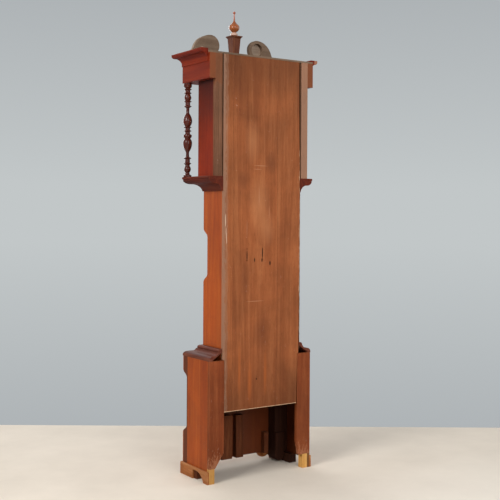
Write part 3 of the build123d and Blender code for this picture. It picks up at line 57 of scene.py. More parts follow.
def tone(red, green, blue):
    """Turns a colour as seen on a screen, 0 to 255, into the shader's own values."""
    values = []
    for value in (red, green, blue):
        share = value / 255
        values.append(share / 12.92 if share <= 0.04045 else ((share + 0.055) / 1.055) ** 2.4)
    return (*values, 1.0)


def add_node(tree, kind, inputs=None, **settings):
    """Adds a shader node, sets its options, then links or sets its inputs."""
    made = tree.nodes.new(kind)
    for key, value in settings.items():
        setattr(made, key, value)
    for socket, value in (inputs or {}).items():
        if isinstance(value, bpy.types.NodeSocket):
            tree.links.new(value, made.inputs[socket])
        else:
            made.inputs[socket].default_value = value
    return made


def grey(value):
    """Plain grey for a mask."""
    return (value, value, value, 1.0)


def ramp(tree, factor, stops):
    """Colour ramp through a list of places and colours."""
    made = add_node(tree, "ShaderNodeValToRGB", {"Fac": factor})
    elements = made.color_ramp.elements
    while len(elements) < len(stops):
        elements.new(0.5)
    for element, (place, colour) in zip(elements, stops):
        element.position = place
        element.color = colour
    return made.outputs["Color"]


def sums(tree, operation, first, second, third=None):
    """One sum on two or three values."""
    inputs = {0: first, 1: second}
    if third is not None:
        inputs[2] = third
    return add_node(tree, "ShaderNodeMath", inputs, operation=operation).outputs[0]


def blend_colour(tree, kind, share, first, second):
    """Blends two colours. Share is a number or a socket."""
    made = add_node(tree, "ShaderNodeMix", data_type="RGBA", blend_type=kind)
    for socket, value in ((0, share), (6, first), (7, second)):
        if isinstance(value, bpy.types.NodeSocket):
            tree.links.new(value, made.inputs[socket])
        else:
            made.inputs[socket].default_value = value
    return made.outputs[2]


def noise(tree, vector, scale, detail=4.0, roughness=0.55, distortion=0.0):
    """Noise value at a place."""
    inputs = {
        "Vector": vector,
        "Scale": scale,
        "Detail": detail,
        "Roughness": roughness,
        "Distortion": distortion,
    }
    return add_node(tree, "ShaderNodeTexNoise", inputs).outputs["Fac"]


def stretched(tree, along, shift=(0, 0, 0), draw=0.045):
    """Object coordinates drawn out along the grain, which runs along X, Y or Z."""
    place = add_node(tree, "ShaderNodeTexCoord").outputs["Object"]
    scale = [1.0, 1.0, 1.0]
    scale["XYZ".index(along)] = draw
    inputs = {"Vector": place, "Location": shift, "Scale": scale}
    return add_node(tree, "ShaderNodeMapping", inputs).outputs["Vector"]


def new_material(name):
    """Empty material with its shader."""
    material = bpy.data.materials.new(name)
    material.use_nodes = True
    tree = material.node_tree
    tree.nodes.clear()
    output = tree.nodes.new("ShaderNodeOutputMaterial")
    shader = tree.nodes.new("ShaderNodeBsdfPrincipled")
    tree.links.new(shader.outputs[0], output.inputs["Surface"])
    return material, tree, shader


def wood(
    name, dark, middle, light, along="Z", rough=0.7, shift=(0, 0, 0), gloss=0.0, painted_shade_levels=(), dust=0.5
):
    """Wood with growth bands, fibres, pores, stains, rubbed edges, scratches and dust.
    Painted shade levels are heights with how bright the wood is painted there, painted light and
    shade by height. Gloss is the coat of polish."""
    material, tree, shader = new_material(name)
    plain = add_node(tree, "ShaderNodeTexCoord").outputs["Object"]
    grain = stretched(tree, along, shift)
    bands = noise(tree, grain, scale=24.0, detail=3.0, roughness=0.6, distortion=1.4)
    fibres = noise(tree, grain, scale=380.0, detail=5.0, roughness=0.7)
    pores = noise(tree, grain, scale=900.0, detail=2.0, roughness=0.5)
    clouds = noise(tree, plain, scale=3.1, detail=5.0, roughness=0.62, distortion=0.5)
    wide_grain = stretched(tree, along, shift, draw=0.3)
    patches = noise(tree, wide_grain, scale=6.0, roughness=0.6, distortion=0.3)
    figure = sums(tree, "MULTIPLY_ADD", fibres, 0.4, sums(tree, "MULTIPLY", bands, 0.62))
    colour = ramp(tree, figure, ((0.26, dark), (0.51, middle), (0.76, light)))
    shading = (
        (0.5, clouds, 0.36, 0.5, 0.62),
        (0.35, patches, 0.34, 0.5, 0.58),
        (0.5, pores, 0.3, 0.3, 0.4),
    )
    for strength, pattern, low, darkest, high in shading:
        shade = ramp(tree, pattern, ((low, grey(darkest)), (high, grey(1.0))))
        colour = blend_colour(tree, "MULTIPLY", strength, colour, shade)
    # Painted light and shade: the colour is multiplied by a brightness that changes with height.
    if painted_shade_levels:
        tallest = 2.3
        height = add_node(tree, "ShaderNodeSeparateXYZ", {"Vector": plain}).outputs["Z"]
        share = sums(tree, "DIVIDE", height, tallest)
        stops = [(level / tallest, grey(value)) for level, value in painted_shade_levels]
        colour = blend_colour(tree, "MULTIPLY", 1.0, colour, ramp(tree, share, stops))
    rounded = add_node(tree, "ShaderNodeBevel", {"Radius": 0.002}, samples=4).outputs["Normal"]
    face = add_node(tree, "ShaderNodeNewGeometry").outputs["Normal"]
    turned_away = add_node(
        tree, "ShaderNodeVectorMath", {0: rounded, 1: face}, operation="DOT_PRODUCT"
    )
    flat = turned_away.outputs["Value"]
    chips = noise(tree, plain, scale=60.0, roughness=0.7)
    edge = sums(
        tree, "MULTIPLY", sums(tree, "SUBTRACT", 1.0, flat), sums(tree, "MULTIPLY", chips, 9.0)
    )
    rubbed = ramp(tree, edge, ((0.25, grey(0.0)), (0.7, grey(0.6))))
    colour = blend_colour(tree, "MIX", rubbed, colour, light)
    speck_place = stretched(tree, along, shift=(0.3, 1.7, 0.9), draw=0.35)
    specks = noise(tree, speck_place, scale=85.0, detail=3.0, roughness=0.75, distortion=2.0)
    specks = sums(
        tree, "MULTIPLY", ramp(tree, specks, ((0.70, grey(0.0)), (0.74, grey(1.0)))), dust
    )
    colour = blend_colour(tree, "MIX", specks, colour, tone(205, 180, 160))
    tree.links.new(colour, shader.inputs["Base Color"])
    worn = sums(tree, "MULTIPLY_ADD", fibres, 0.25, rough - 0.2)
    worn = sums(tree, "MULTIPLY_ADD", clouds, 0.16, worn)
    tree.links.new(worn, shader.inputs["Roughness"])
    shader.inputs["Specular IOR Level"].default_value = 0.14
    shader.inputs["Coat Weight"].default_value = gloss
    shader.inputs["Coat Roughness"].default_value = 0.16
    height = sums(tree, "MULTIPLY_ADD", pores, 0.5, sums(tree, "ADD", fibres, bands))
    relief = 0.12 if gloss > 0 else 0.4
    inputs = {"Height": height, "Strength": relief, "Distance": 0.0008, "Normal": rounded}
    tree.links.new(
        add_node(tree, "ShaderNodeBump", inputs).outputs["Normal"], shader.inputs["Normal"]
    )
    return material


def base_colour(material):
    """The colour that reaches a material's shader, with its tree and shader."""
    tree = material.node_tree
    shader = next(node for node in tree.nodes if node.type == "BSDF_PRINCIPLED")
    return tree, shader, shader.inputs["Base Color"].links[0].from_socket


def paint_where(material, axis, low, high, colour, strength, breakup=0.0, scale=40.0):
    """Lays a colour over the part of a material between two places on an axis, with a broken edge."""
    tree, shader, before = base_colour(material)
    plain = add_node(tree, "ShaderNodeTexCoord").outputs["Object"]
    value = add_node(tree, "ShaderNodeSeparateXYZ", {"Vector": plain}).outputs[axis]
    ragged = noise(tree, stretched(tree, "Z", (0.2, 0.5, 0.8), 0.25), scale, 4.0, 0.7)
    value = sums(tree, "MULTIPLY_ADD", sums(tree, "SUBTRACT", ragged, 0.5), breakup, value)
    middle = (low + high) / 2
    share = sums(tree, "COMPARE", value, middle, (high - low) / 2)
    share = sums(tree, "MULTIPLY", share, strength)
    tree.links.new(blend_colour(tree, "MIX", share, before, colour), shader.inputs["Base Color"])


def marks(material, places, colour, soft=0.75, strength=1.0):
    """Gouges, scratches and stains on an upright face. Each place is x, z, half width, half height.
    Soft is how far out from the middle the mark starts to fade."""
    tree, shader, before = base_colour(material)
    plain = add_node(tree, "ShaderNodeTexCoord").outputs["Object"]
    for x, z, wide, high in places:
        inputs = {
            "Vector": plain, "Location": (-x / wide, 0, -z / high), "Scale": (1 / wide, 0, 1 / high)
        }
        local = add_node(tree, "ShaderNodeMapping", inputs).outputs["Vector"]
        away = add_node(
            tree, "ShaderNodeVectorMath", {0: local}, operation="LENGTH"
        ).outputs["Value"]
        inside = ramp(tree, away, ((soft, grey(strength)), (1.0, grey(0.0))))
        before = blend_colour(tree, "MIX", inside, before, colour)
    tree.links.new(before, shader.inputs["Base Color"])


def dress(names, material):
    """Gives nodes of the frame a material and smooths their curved faces."""
    for name in names:
        piece = nodes[name]
        piece.data.materials.clear()
        piece.data.materials.append(material)
        bpy.ops.object.select_all(action="DESELECT")
        piece.select_set(True)
        bpy.context.view_layer.objects.active = piece
        bpy.ops.object.shade_smooth_by_angle(angle=math.radians(35))


# The planks are painted light and shade by height: darkest at the top as painted shade under the
# hood, darker at the foot, lightest at mid height.
plank_painted_shade_levels = ((0.33, 0.7), (0.6, 1.1), (1.0, 1.02), (1.3, 1.14), (1.7, 0.98), (2.0, 0.62))
plank_tones = (tone(126, 66, 36), tone(152, 86, 48), tone(176, 110, 68))
planks = {}
for number, name in enumerate(("backboard_left", "backboard_centre", "backboard_right")):
    start = (number * 0.7, 0, number * 1.3)
    planks[name] = wood(
        f"pine_plank_{number}", *plank_tones, shift=start, painted_shade_levels=plank_painted_shade_levels, dust=0.55
    )
    dress([name], planks[name])
dried_size = tone(150, 120, 100)
bare_pine = tone(222, 184, 148)
for name in planks:
    paint_where(planks[name], "X", 0.199, 0.24, dried_size, 0.25, 0.03)
    paint_where(planks[name], "X", 0.212, 0.24, dried_size, 0.4, 0.06, 120.0)
    paint_where(planks[name], "X", -0.24, -0.2235, bare_pine, 0.6, 0.02, 90.0)
    paint_where(planks[name], "Z", 0.30, 0.334, bare_pine, 0.7, 0.004, 90.0)
# The screw holes are painted as near-black spots: painted shade in the hollows.
hole_painted_shade = tone(26, 12, 8)
wall_marks = (
    (-0.046, 1.032, 0.0045, 0.012), (0.045, 1.049, 0.003, 0.011), (-0.001, 1.082, 0.003, 0.03)
)
wall_marks += (
    (0.001, 1.048, 0.0045, 0.01), (0.089, 1.07, 0.0028, 0.028), (0.031, 0.473, 0.004, 0.004)
)
worn_places = ((0.02, 1.32, 0.07, 0.16), (-0.03, 1.2, 0.05, 0.1), (0.06, 1.62, 0.05, 0.12))
stains = (
    (0.11, 1.43, 0.05, 0.05),
    (-0.05, 1.52, 0.04, 0.06),
    (0.0, 0.7, 0.06, 0.12),
    (0.1, 0.95, 0.03, 0.1),
)
streaks = ((-0.02, 0.5, 0.012, 0.13), (0.07, 0.46, 0.016, 0.12), (0.13, 0.52, 0.01, 0.16))
scratches = ((0.01, 1.505, 0.045, 0.0012), (0.03, 1.488, 0.03, 0.001), (0.04, 0.85, 0.06, 0.0011))
scratches += ((0.02, 1.36, 0.0009, 0.06), (-0.04, 1.28, 0.0008, 0.04), (0.09, 1.2, 0.0008, 0.05))
centre_plank = planks["backboard_centre"]
marks(centre_plank, worn_places, tone(186, 124, 82), 0.1, 0.4)
marks(centre_plank, stains, tone(92, 48, 28), 0.15, 0.45)
marks(centre_plank, streaks, tone(176, 92, 40), 0.1, 0.5)
marks(centre_plank, scratches, tone(206, 164, 132), 0.5, 0.55)
marks(centre_plank, wall_marks, hole_painted_shade)
scrape = tone(214, 190, 168)
scrapes = ((0.212, 1.24, 0.0016, 0.035), (0.206, 1.155, 0.0012, 0.03), (0.209, 1.19, 0.0012, 0.02))
marks(planks["backboard_left"], scrapes, scrape)

# Rear stiles of the base: two stained pine boards that run down to the floor behind the case.
# Their worn feet are cut away and rubbed pale.
base_stile = wood(
    "stained_stile",
    tone(104, 46, 20),
    tone(138, 68, 34),
    tone(166, 96, 56),
    shift=(4.1, 0, 0.9),
    dust=0.6,
)
paint_where(base_stile, "Z", 0.0, 0.1, tone(176, 122, 90), 0.45, 0.35, 160.0)
dress(["rear_stiles"], base_stile)

# Foot blocks: new pine let in and glued under the worn feet of the rear stiles.
# The wood is still yellow, and its outer end, from x -0.2795 out, is painted dark brown.
new_pine = wood(
    "new_pine",
    tone(184, 124, 58),
    tone(212, 156, 84),
    tone(234, 188, 116),
    shift=(0.4, 0, 2.2),
    rough=0.6,
    dust=0.2,
)
# The outer end of the blocks is painted dark brown.
paint_where(new_pine, "X", -0.31, -0.2795, tone(92, 48, 24), 0.85, 0.002)
dress(["foot_blocks"], new_pine)

# Base: mahogany sides and front, glued to pine blocks.
# The outside is french polished. The inside is raw wood, painted dark as painted shade inside the
# base.
polished = ("polished_upright", tone(138, 52, 8), tone(166, 74, 16), tone(188, 98, 34))
base_sides = wood(*polished, shift=(0.2, 0.1, 0.4), rough=0.5, gloss=0.08, dust=0.25)
dress(["base_sides"], base_sides)
base_front = wood(
    "base_front", *polished[1:], shift=(1.2, 0.4, 0.7), rough=0.5, gloss=0.08, dust=0.25
)
# The inner face is painted dark: the raw wood's colour with painted shade inside the base.
raw_inside_and_shade = tone(74, 34, 16)
paint_where(base_front, "Y", -0.0955, 0.2, raw_inside_and_shade, 0.85)
# The inner faces of the sides are painted almost black, painted shade inside the base.
paint_where(base_sides, "X", -0.2805, 0.2805, tone(40, 18, 10), 0.85)
dress(["base_front"], base_front)

# Glue blocks: rough sawn softwood blocks and posts inside the base, rubbed in with hot glue.
# They have turned dark brown, and the -X side is painted almost black as painted shade deep inside
# the base.
blocks = wood(
    "glue_blocks",
    tone(60, 26, 12),
    tone(98, 50, 26),
    tone(138, 82, 48),
    shift=(1.9, 0, 0.2),
    rough=0.75,
)
# Painted shade: the -X side is painted almost black.
paint_where(blocks, "X", -0.30, -0.2, tone(30, 13, 8), 0.8)
dress(["glue_blocks"], blocks)

# Base moulding and skirting: dark stepped mahogany run round the top of the base, and a paler
# skirting cut into bracket feet, chipped and rubbed along its lower edge.
level_tones = (tone(72, 30, 20), tone(104, 50, 34), tone(140, 84, 60))
mould_wood = wood(
    "moulding", *level_tones, along="Y", shift=(0.2, 0.1, 0.4), rough=0.6, gloss=0.03, dust=0.5
)
dress(["base_moulding"], mould_wood)
skirt_wood = wood(
    "skirting",
    tone(118, 58, 24),
    tone(168, 102, 54),
    tone(204, 148, 100),
    along="Y",
    rough=0.6,
    gloss=0.04,
    dust=1.0,
)
dress(["skirting"], skirt_wood)

# Trunk: two polished mahogany sides between the base and the hood.
# The corner posts and rails hold a short door, which has a brass lock.
trunk_wood = wood(
    "trunk_mahogany", *polished[1:], shift=(0.8, 0.3, 1.4), rough=0.45, gloss=0.1, dust=0.2
)
dress(["trunk_sides", "trunk_front", "trunk_door"], trunk_wood)

# Throat moulding and hood floor: a dark mahogany cove under the hood, mitred round the trunk,
# and the frame that the hood slides on.
throat_wood = wood(
    "throat", tone(64, 20, 6), tone(94, 30, 8), tone(124, 52, 20), along="Y", rough=0.6, gloss=0.03
)
dress(["throat_moulding", "hood_floor_frame"], throat_wood)

# Hood sides: red mahogany with a deep gloss, painted darker towards the top as painted shade under
# the frieze.
# The hood lifts off the cheeks by sliding forward.
red_tones = (tone(112, 24, 4), tone(142, 42, 10), tone(168, 64, 22))
side_painted_shade_levels = ((1.45, 1.0), (1.62, 0.9), (1.75, 0.5), (1.9, 0.22))
hood_side = wood(
    "hood_side",
    *red_tones,
    shift=(0.5, 0.1, 0.4),
    rough=0.5,
    gloss=0.06,
    painted_shade_levels=side_painted_shade_levels,
    dust=0.1,
)
dress(["hood_sides"], hood_side)

# Frieze: a plain mahogany board right round the top of the hood, glued to the sides.
# Its back ends were never polished.
frieze_wood = wood(
    "frieze",
    tone(98, 24, 4),
    tone(122, 36, 8),
    tone(142, 54, 18),
    along="Y",
    rough=0.55,
    gloss=0.03,
    dust=0.2,
)
paint_where(frieze_wood, "Y", 0.1475, 0.2, tone(118, 70, 40), 0.75)
dress(["frieze"], frieze_wood)

# Cornice: a mahogany cove moulding, mitred at the front corners and glued over the frieze.
# Its back ends are raw, and the end on the -X side is rubbed pale.
cornice_wood = wood(
    "cornice",
    tone(84, 18, 2),
    tone(112, 28, 4),
    tone(142, 50, 14),
    along="Y",
    rough=0.6,
    gloss=0.02,
    dust=0.3,
)
paint_where(cornice_wood, "Y", 0.1475, 0.2, tone(158, 108, 74), 0.85)
paint_where(cornice_wood, "X", -0.36, -0.325, tone(176, 128, 98), 0.55, 0.004)
dress(["cornice"], cornice_wood)

# Hood stiles: two pale unpolished pine boards at the back edges of the hood's sides.
# They hide the gap beside the backboard. The one on the -X side is painted lighter, painted light
# where it catches the light.
hood_stile = wood(
    "hood_stile",
    tone(88, 56, 38),
    tone(114, 76, 54),
    tone(142, 102, 78),
    shift=(3.1, 0, 0.4),
    rough=0.75,
    dust=0.6,
)
paint_where(hood_stile, "Z", 1.88, 2.2, tone(116, 66, 38), 0.5, 0.1)
# Painted light: the -X stile is painted lighter.
paint_where(hood_stile, "X", -0.3, -0.2, tone(164, 124, 100), 0.6, 0.03)
dress(["hood_rear_stiles"], hood_stile)

# Top board, scroll boards and seatboard: sawn pine that was never finished, now grey.
# The scrolls stand on the cornice and are seen here from their raw backs.
raw_top = wood(
    "raw_top",
    tone(96, 76, 60),
    tone(122, 100, 82),
    tone(152, 132, 112),
    along="X",
    shift=(1.1, 0, 0.2),
    rough=0.8,
    dust=0.8,
)
dress(["hood_top_board", "scroll_boards", "seatboard"], raw_top)

# Scroll mouldings and pedestal: the neck mouldings and roundels on the scrolls' fronts are
# dusty mahogany, painted pale grey as a painted highlight where their edges catch the light. The
# pedestal between them is polished and carries the finial.
# The pale grey tones are a painted highlight on the lit edges, over dust specks.
dress(
    ["scroll_mouldings"],
    wood(
        "neck",
        tone(120, 96, 80),
        tone(164, 142, 122),
        tone(196, 176, 156),
        along="X",
        rough=0.6,
        gloss=0.05,
    ),
)
dress(
    ["pedestal"],
    wood("pedestal", tone(66, 26, 12), tone(104, 52, 28), tone(146, 92, 56), rough=0.45, gloss=0.2),
)

# Columns: two ring-turned mahogany columns that stand free at the front corners of the hood.
# They are turned between centres and held by a pin at each end.


def turned(name, foot, outline, axis=(0, 0, 1), steps=72):
    """Piece turned on a lathe. The outline lists radius, height and bulge, as cut by the gouge."""
    cuts = 7
    points = [Vector((outline[0][0], 0, outline[0][1]))]
    for start, end in zip(outline, outline[1:]):
        count = cuts if end[2] else 1
        for cut in range(1, count + 1):
            share = cut / count
            bulge = 4 * end[2] * share * (1 - share)
            radius = start[0] + (end[0] - start[0]) * share + bulge
            points.append(Vector((radius, 0, start[1] + (end[1] - start[1]) * share)))
    points = [Vector((0, 0, points[0].z)), *points, Vector((0, 0, points[-1].z))]
    bpy.ops.object.select_all(action="DESELECT")
    bpy.ops.mesh.primitive_plane_add(size=0.001)
    piece = bpy.context.object
    piece.name = name
    bpy.ops.object.mode_set(mode="EDIT")
    bpy.ops.mesh.select_all(action="SELECT")
    bpy.ops.mesh.merge(type="CENTER")
    bpy.ops.transform.translate(value=points[0])
    for start, end in zip(points, points[1:]):
        bpy.ops.mesh.extrude_region_move(TRANSFORM_OT_translate={"value": end - start})
    bpy.ops.mesh.select_all(action="SELECT")
    bpy.ops.mesh.spin(steps=steps, angle=2 * math.pi, center=(0, 0, 0), axis=(0, 0, 1))
    bpy.ops.mesh.select_all(action="SELECT")
    bpy.ops.mesh.remove_doubles(threshold=0.00002)
    bpy.ops.mesh.normals_make_consistent(inside=False)
    bpy.ops.object.mode_set(mode="OBJECT")
    piece.rotation_mode = "QUATERNION"
    piece.rotation_quaternion = Vector(axis).to_track_quat("Z", "Y")
    piece.location = foot
    bpy.ops.object.transform_apply(location=True, rotation=True, scale=True)
    bpy.ops.object.shade_smooth_by_angle(angle=math.radians(50))
    return piece


def copied(piece, name, move):
    """Copy of a piece with its own mesh, moved to its place."""
    bpy.ops.object.select_all(action="DESELECT")
    piece.select_set(True)
    bpy.context.view_layer.objects.active = piece
    bpy.ops.object.duplicate(linked=False)
    twin = bpy.context.object
    twin.name = name
    bpy.ops.transform.translate(value=move)
    bpy.ops.object.transform_apply(location=True, rotation=True, scale=True)
    return twin


ring, vase, neck = 0.020, 0.0225, 0.008
shaft = neck + 0.004
column_outline = [(ring, 0, 0), (ring, 0.009, 0), (shaft, 0.013, -0.001), (shaft - 0.002, 0.022, 0)]
column_outline += [(neck + 0.009, 0.038, 0.0015), (shaft - 0.001, 0.054, 0.0015)]


def column_band(height, half=0.005):
    """A turned ring with a soft crest between two waists."""
    bead = ring - 0.001
    crest = 0.002
    flat = 0.0018
    return [
        (shaft, height - half, 0),
        (bead - crest, height - flat, 0),
        (bead - crest, height + flat, crest),
        (shaft, height + half, 0),
    ]


column_outline += column_band(0.066) + column_band(0.092)
column_outline += [
    (neck, 0.103, -0.001), (neck, 0.122, 0), (vase, 0.168, 0.004), (shaft + 0.002, 0.188, 0.002)
]
column_outline += [(ring, 0.196, 0), (ring, 0.206, 0.0008), (shaft, 0.211, 0)]
column_outline += column_band(0.225) + column_band(0.243, 0.004)
column_outline += [(vase, 0.271, 0.002), (neck, 0.312, 0.0035), (neck, 0.336, 0)]
column_outline += column_band(0.345) + column_band(0.369) + [(neck + 0.010, 0.389, 0.0015)]
column_outline += column_band(0.410) + column_band(0.428) + [(ring, 0.440, 0), (ring, 0.458, 0)]
column_wood = wood(
    "column",
    tone(52, 14, 6),
    tone(80, 26, 12),
    tone(118, 50, 26),
    shift=(0.9, 0.2, 0.1),
    rough=0.4,
    gloss=0.35,
    dust=0.1,
)
low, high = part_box("columns")
column_right = turned(
    "column_right", (high[0] - vase, (low[1] + high[1]) / 2, low[2]), column_outline
)
column_right.data.materials.append(column_wood)
column_left = copied(column_right, "column_left", (low[0] + vase - high[0] + vase, 0, 0))
for column in (column_right, column_left):
    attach(column, "hood")
    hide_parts("columns")

# Finial: a turned mahogany spire on the pedestal between the scrolls.
# Its foot is a ring, then a flattened ball, a long neck and a small bead.
finial_wood = wood(
    "finial",
    tone(112, 54, 24),
    tone(158, 86, 44),
    tone(194, 126, 76),
    shift=(0.2, 0.2, 0.1),
    rough=0.35,
    gloss=0.5,
    dust=0.2,
)
paint_where(finial_wood, "Z", 2.1735, 2.192, tone(204, 176, 160), 0.7, 0.003)
paint_where(finial_wood, "Z", 2.26, 2.31, tone(170, 96, 84), 0.5)
low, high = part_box("finial")
finial_outline = [
    (0.014, 0, 0), (0.014, 0.017, 0.0045), (0.010, 0.020, -0.001), (0.027, 0.044, 0.005)
]
finial_outline += [
    (0.019, 0.060, 0.0025), (0.008, 0.072, -0.001), (0.0045, 0.084, -0.0015), (0.003, 0.113, 0)
]
finial_outline += [(0.001, 0.127, 0.0055)]
finial = turned(
    "finial_spire", ((low[0] + high[0]) / 2, (low[1] + high[1]) / 2, low[2]), finial_outline
)
finial.data.materials.append(finial_wood)
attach(finial, "hood")
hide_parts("finial")

# Hood door: a mahogany frame on two brass butts, with a small turned knob.
# Its frame is mitred and french polished like the hood's sides.
dress(
    ["hood_door_frame"],
    wood("door_frame", *red_tones, shift=(0.1, 0.6, 0.4), rough=0.35, gloss=0.5, dust=0.1),
)

# Pane: old drawn glass with a slight ripple, held in the door's rebate.
# It is clear, so that the dial can be read through it.
glass, tree, shader = new_material("old_pane")
shader.inputs["Base Color"].default_value = (0.95, 0.97, 0.96, 1)
shader.inputs["Transmission Weight"].default_value = 1.0
shader.inputs["IOR"].default_value = 1.45
shader.inputs["Roughness"].default_value = 0.0
plain = add_node(tree, "ShaderNodeTexCoord").outputs["Object"]
inputs = {"Height": noise(tree, plain, 12.0, 2.0), "Strength": 0.01, "Distance": 0.001}
tree.links.new(add_node(tree, "ShaderNodeBump", inputs).outputs["Normal"], shader.inputs["Normal"])
dress(["hood_door_glass"], glass)

# Brass fittings: cast and filed brass knob, butts, hinge leaves and lock, long untouched.
# They are held by small screws and have gone brown in the corners.


def metal(name, bright, dull, rough, metallic=1.0, scale=38.0):
    """Metal or paint with tarnish, fine brushing and small dents."""
    material, tree, shader = new_material(name)
    plain = add_node(tree, "ShaderNodeTexCoord").outputs["Object"]
    clouds = noise(tree, plain, scale, 5.0, 0.6)
    fine = noise(tree, plain, 900.0, 2.0, 0.5)
    tree.links.new(ramp(tree, clouds, ((0.38, dull), (0.62, bright))), shader.inputs["Base Color"])
    shader.inputs["Metallic"].default_value = metallic
    worn = sums(tree, "MULTIPLY_ADD", clouds, 0.25, rough - 0.2)
    tree.links.new(sums(tree, "MULTIPLY_ADD", fine, 0.2, worn), shader.inputs["Roughness"])
    inputs = {"Height": fine, "Strength": 0.15, "Distance": 0.0002}
    tree.links.new(
        add_node(tree, "ShaderNodeBump", inputs).outputs["Normal"], shader.inputs["Normal"]
    )
    return material


brass = metal("old_brass", tone(206, 164, 88), tone(132, 96, 44), 0.35)
dress(["hood_door_knob", "hood_hinge_leaves", "hood_door_hinges"], brass)
dress(["trunk_hinge_leaves", "trunk_door_hinges", "trunk_door_lock"], brass)

# Movement: cast brass plates on round pillars, with cut brass wheels on steel arbors.
# The wheels are lacquered. The pallets, the hammer and the bell's stand are polished steel.
wheel_brass = metal("wheel_brass", tone(222, 184, 104), tone(170, 128, 62), 0.28, 1.0, 60.0)
dress(["back_plate", "front_plate", "going_barrel", "pulley_going", "pulley_strike"], brass)
wheels = ["going_great_wheel", "centre_wheel", "minute_wheel", "hour_wheel", "third_wheel"]
dress([*wheels, "escape_wheel", "strike_great_wheel"], wheel_brass)
steel = metal("bright_steel", tone(176, 176, 178), tone(104, 102, 100), 0.35)
dress(["pallets", "hammer", "bell_stand", "pendulum_rod"], steel)
dress(["bell"], metal("bell_metal", tone(196, 172, 122), tone(130, 112, 76), 0.3))

# Dial: a square iron plate, primed and painted cream, then numbered by hand in black.
# The paint is lightly yellowed and crazed, and the numbers stand just proud of it.
dress(["dial"], metal("dial_paint", tone(232, 228, 212), tone(214, 206, 184), 0.45, 0.0, 9.0))
dial_ink = metal("dial_ink", tone(34, 30, 28), tone(16, 14, 14), 0.5, 0.0, 120.0)
low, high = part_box("dial")
dial_centre = Vector(((low[0] + high[0]) / 2, low[1], (low[2] + high[2]) / 2))
ink_height = 0.00012
hour_names = ("XII", "I", "II", "III", "IIII", "V", "VI", "VII", "VIII", "IX", "X", "XI")
number_radius = 0.133
number_size = 0.036
seconds_up = 0.05
ring_sides = 180
heavy_tick = 2.2


def inked(name, centre):
    """Takes a flat drawing that lies on the ground, stands it on the dial's face and inks it."""
    drawing = bpy.context.object
    drawing.name = name
    bpy.ops.object.transform_apply(location=True, rotation=True, scale=True)
    drawing.rotation_euler = (math.pi / 2, 0, 0)
    drawing.location = centre - Vector((0, ink_height, 0))
    bpy.ops.object.transform_apply(location=True, rotation=True, scale=True)
    bpy.ops.object.mode_set(mode="EDIT")
    bpy.ops.mesh.select_all(action="SELECT")
    bpy.ops.mesh.remove_doubles(threshold=0.000001)
    bpy.ops.mesh.normals_make_consistent(inside=False)
    bpy.ops.object.mode_set(mode="OBJECT")
    drawing.data.materials.clear()
    drawing.data.materials.append(dial_ink)
    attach(drawing, "case")
    return drawing


def inked_ring(name, centre, radius, width, ticks, tick_length):
    """Two thin circles with a scale of ticks between them, joined into one drawing."""
    parts = []
    for outer in (radius, radius - tick_length - width):
        bpy.ops.object.select_all(action="DESELECT")
        bpy.ops.mesh.primitive_circle_add(vertices=ring_sides, radius=outer)
        bpy.ops.object.mode_set(mode="EDIT")
        bpy.ops.mesh.select_all(action="SELECT")
        bpy.ops.mesh.extrude_edges_move()
        shrink = (outer - width) / outer
        bpy.ops.transform.resize(value=(shrink, shrink, 1))
        bpy.ops.mesh.select_all(action="SELECT")
        bpy.ops.mesh.extrude_region_move(TRANSFORM_OT_translate={"value": (0, 0, ink_height)})
        bpy.ops.object.mode_set(mode="OBJECT")
        parts.append(bpy.context.object)
    for tick in range(ticks):
        turn = 2 * math.pi * tick / ticks
        heavy = heavy_tick if tick % 5 == 0 else 1.0
        middle = radius - width - tick_length / 2
        bpy.ops.object.select_all(action="DESELECT")
        bpy.ops.mesh.primitive_plane_add(size=1)
        bpy.ops.object.mode_set(mode="EDIT")
        bpy.ops.mesh.select_all(action="SELECT")
        bpy.ops.transform.resize(value=(width * heavy, tick_length + width, 1))
        bpy.ops.mesh.extrude_region_move(TRANSFORM_OT_translate={"value": (0, 0, ink_height)})
        bpy.ops.object.mode_set(mode="OBJECT")
        mark = bpy.context.object
        mark.location = (middle * math.sin(turn), middle * math.cos(turn), 0)
        mark.rotation_euler = (0, 0, -turn)
        bpy.ops.object.transform_apply(location=True, rotation=True, scale=True)
        parts.append(mark)
    bpy.ops.object.select_all(action="DESELECT")
    for part in parts:
        part.select_set(True)
    bpy.context.view_layer.objects.active = parts[0]
    bpy.ops.object.join()
    inked(name, centre)


for hour, label in enumerate(hour_names):
    turn = 2 * math.pi * hour / len(hour_names)
    bpy.ops.object.select_all(action="DESELECT")
    bpy.ops.object.text_add()
    text = bpy.context.object
    text.data.body = label
    text.data.size = number_size
    text.data.align_x = "CENTER"
    text.data.align_y = "CENTER"
    text.data.extrude = ink_height / 2
    across, up = number_radius * math.sin(turn), number_radius * math.cos(turn)
    text.location = (across, up, ink_height / 2)
    text.rotation_euler = (0, 0, -turn)
    bpy.ops.object.convert(target="MESH")
    inked(f"dial_number_{hour or 12}", dial_centre)
inked_ring("minute_track", dial_centre, radius=0.168, width=0.0007, ticks=60, tick_length=0.007)
seconds_centre = dial_centre + Vector((0, 0, seconds_up))
inked_ring(
    "seconds_track", seconds_centre, radius=0.0315, width=0.0004, ticks=60, tick_length=0.004
)

# Hands: sawn from thin steel sheet, filed, polished and blued over a flame.
# Each is pinned on its own pipe or arbor.
dress(
    ["hour_hand", "minute_hand", "seconds_hand"],
    metal("blued_steel", tone(46, 60, 110), tone(18, 22, 44), 0.3),
)

# Pendulum bob and weights: a lead bob in a brass case on the rod, and two plain cast iron
# weights that hang from their pulleys.
dress(["pendulum_bob"], brass)
dress(
    ["weight_going", "weight_strike"],
    metal("weight_iron", tone(70, 66, 64), tone(34, 30, 28), 0.6, 0.7),
)

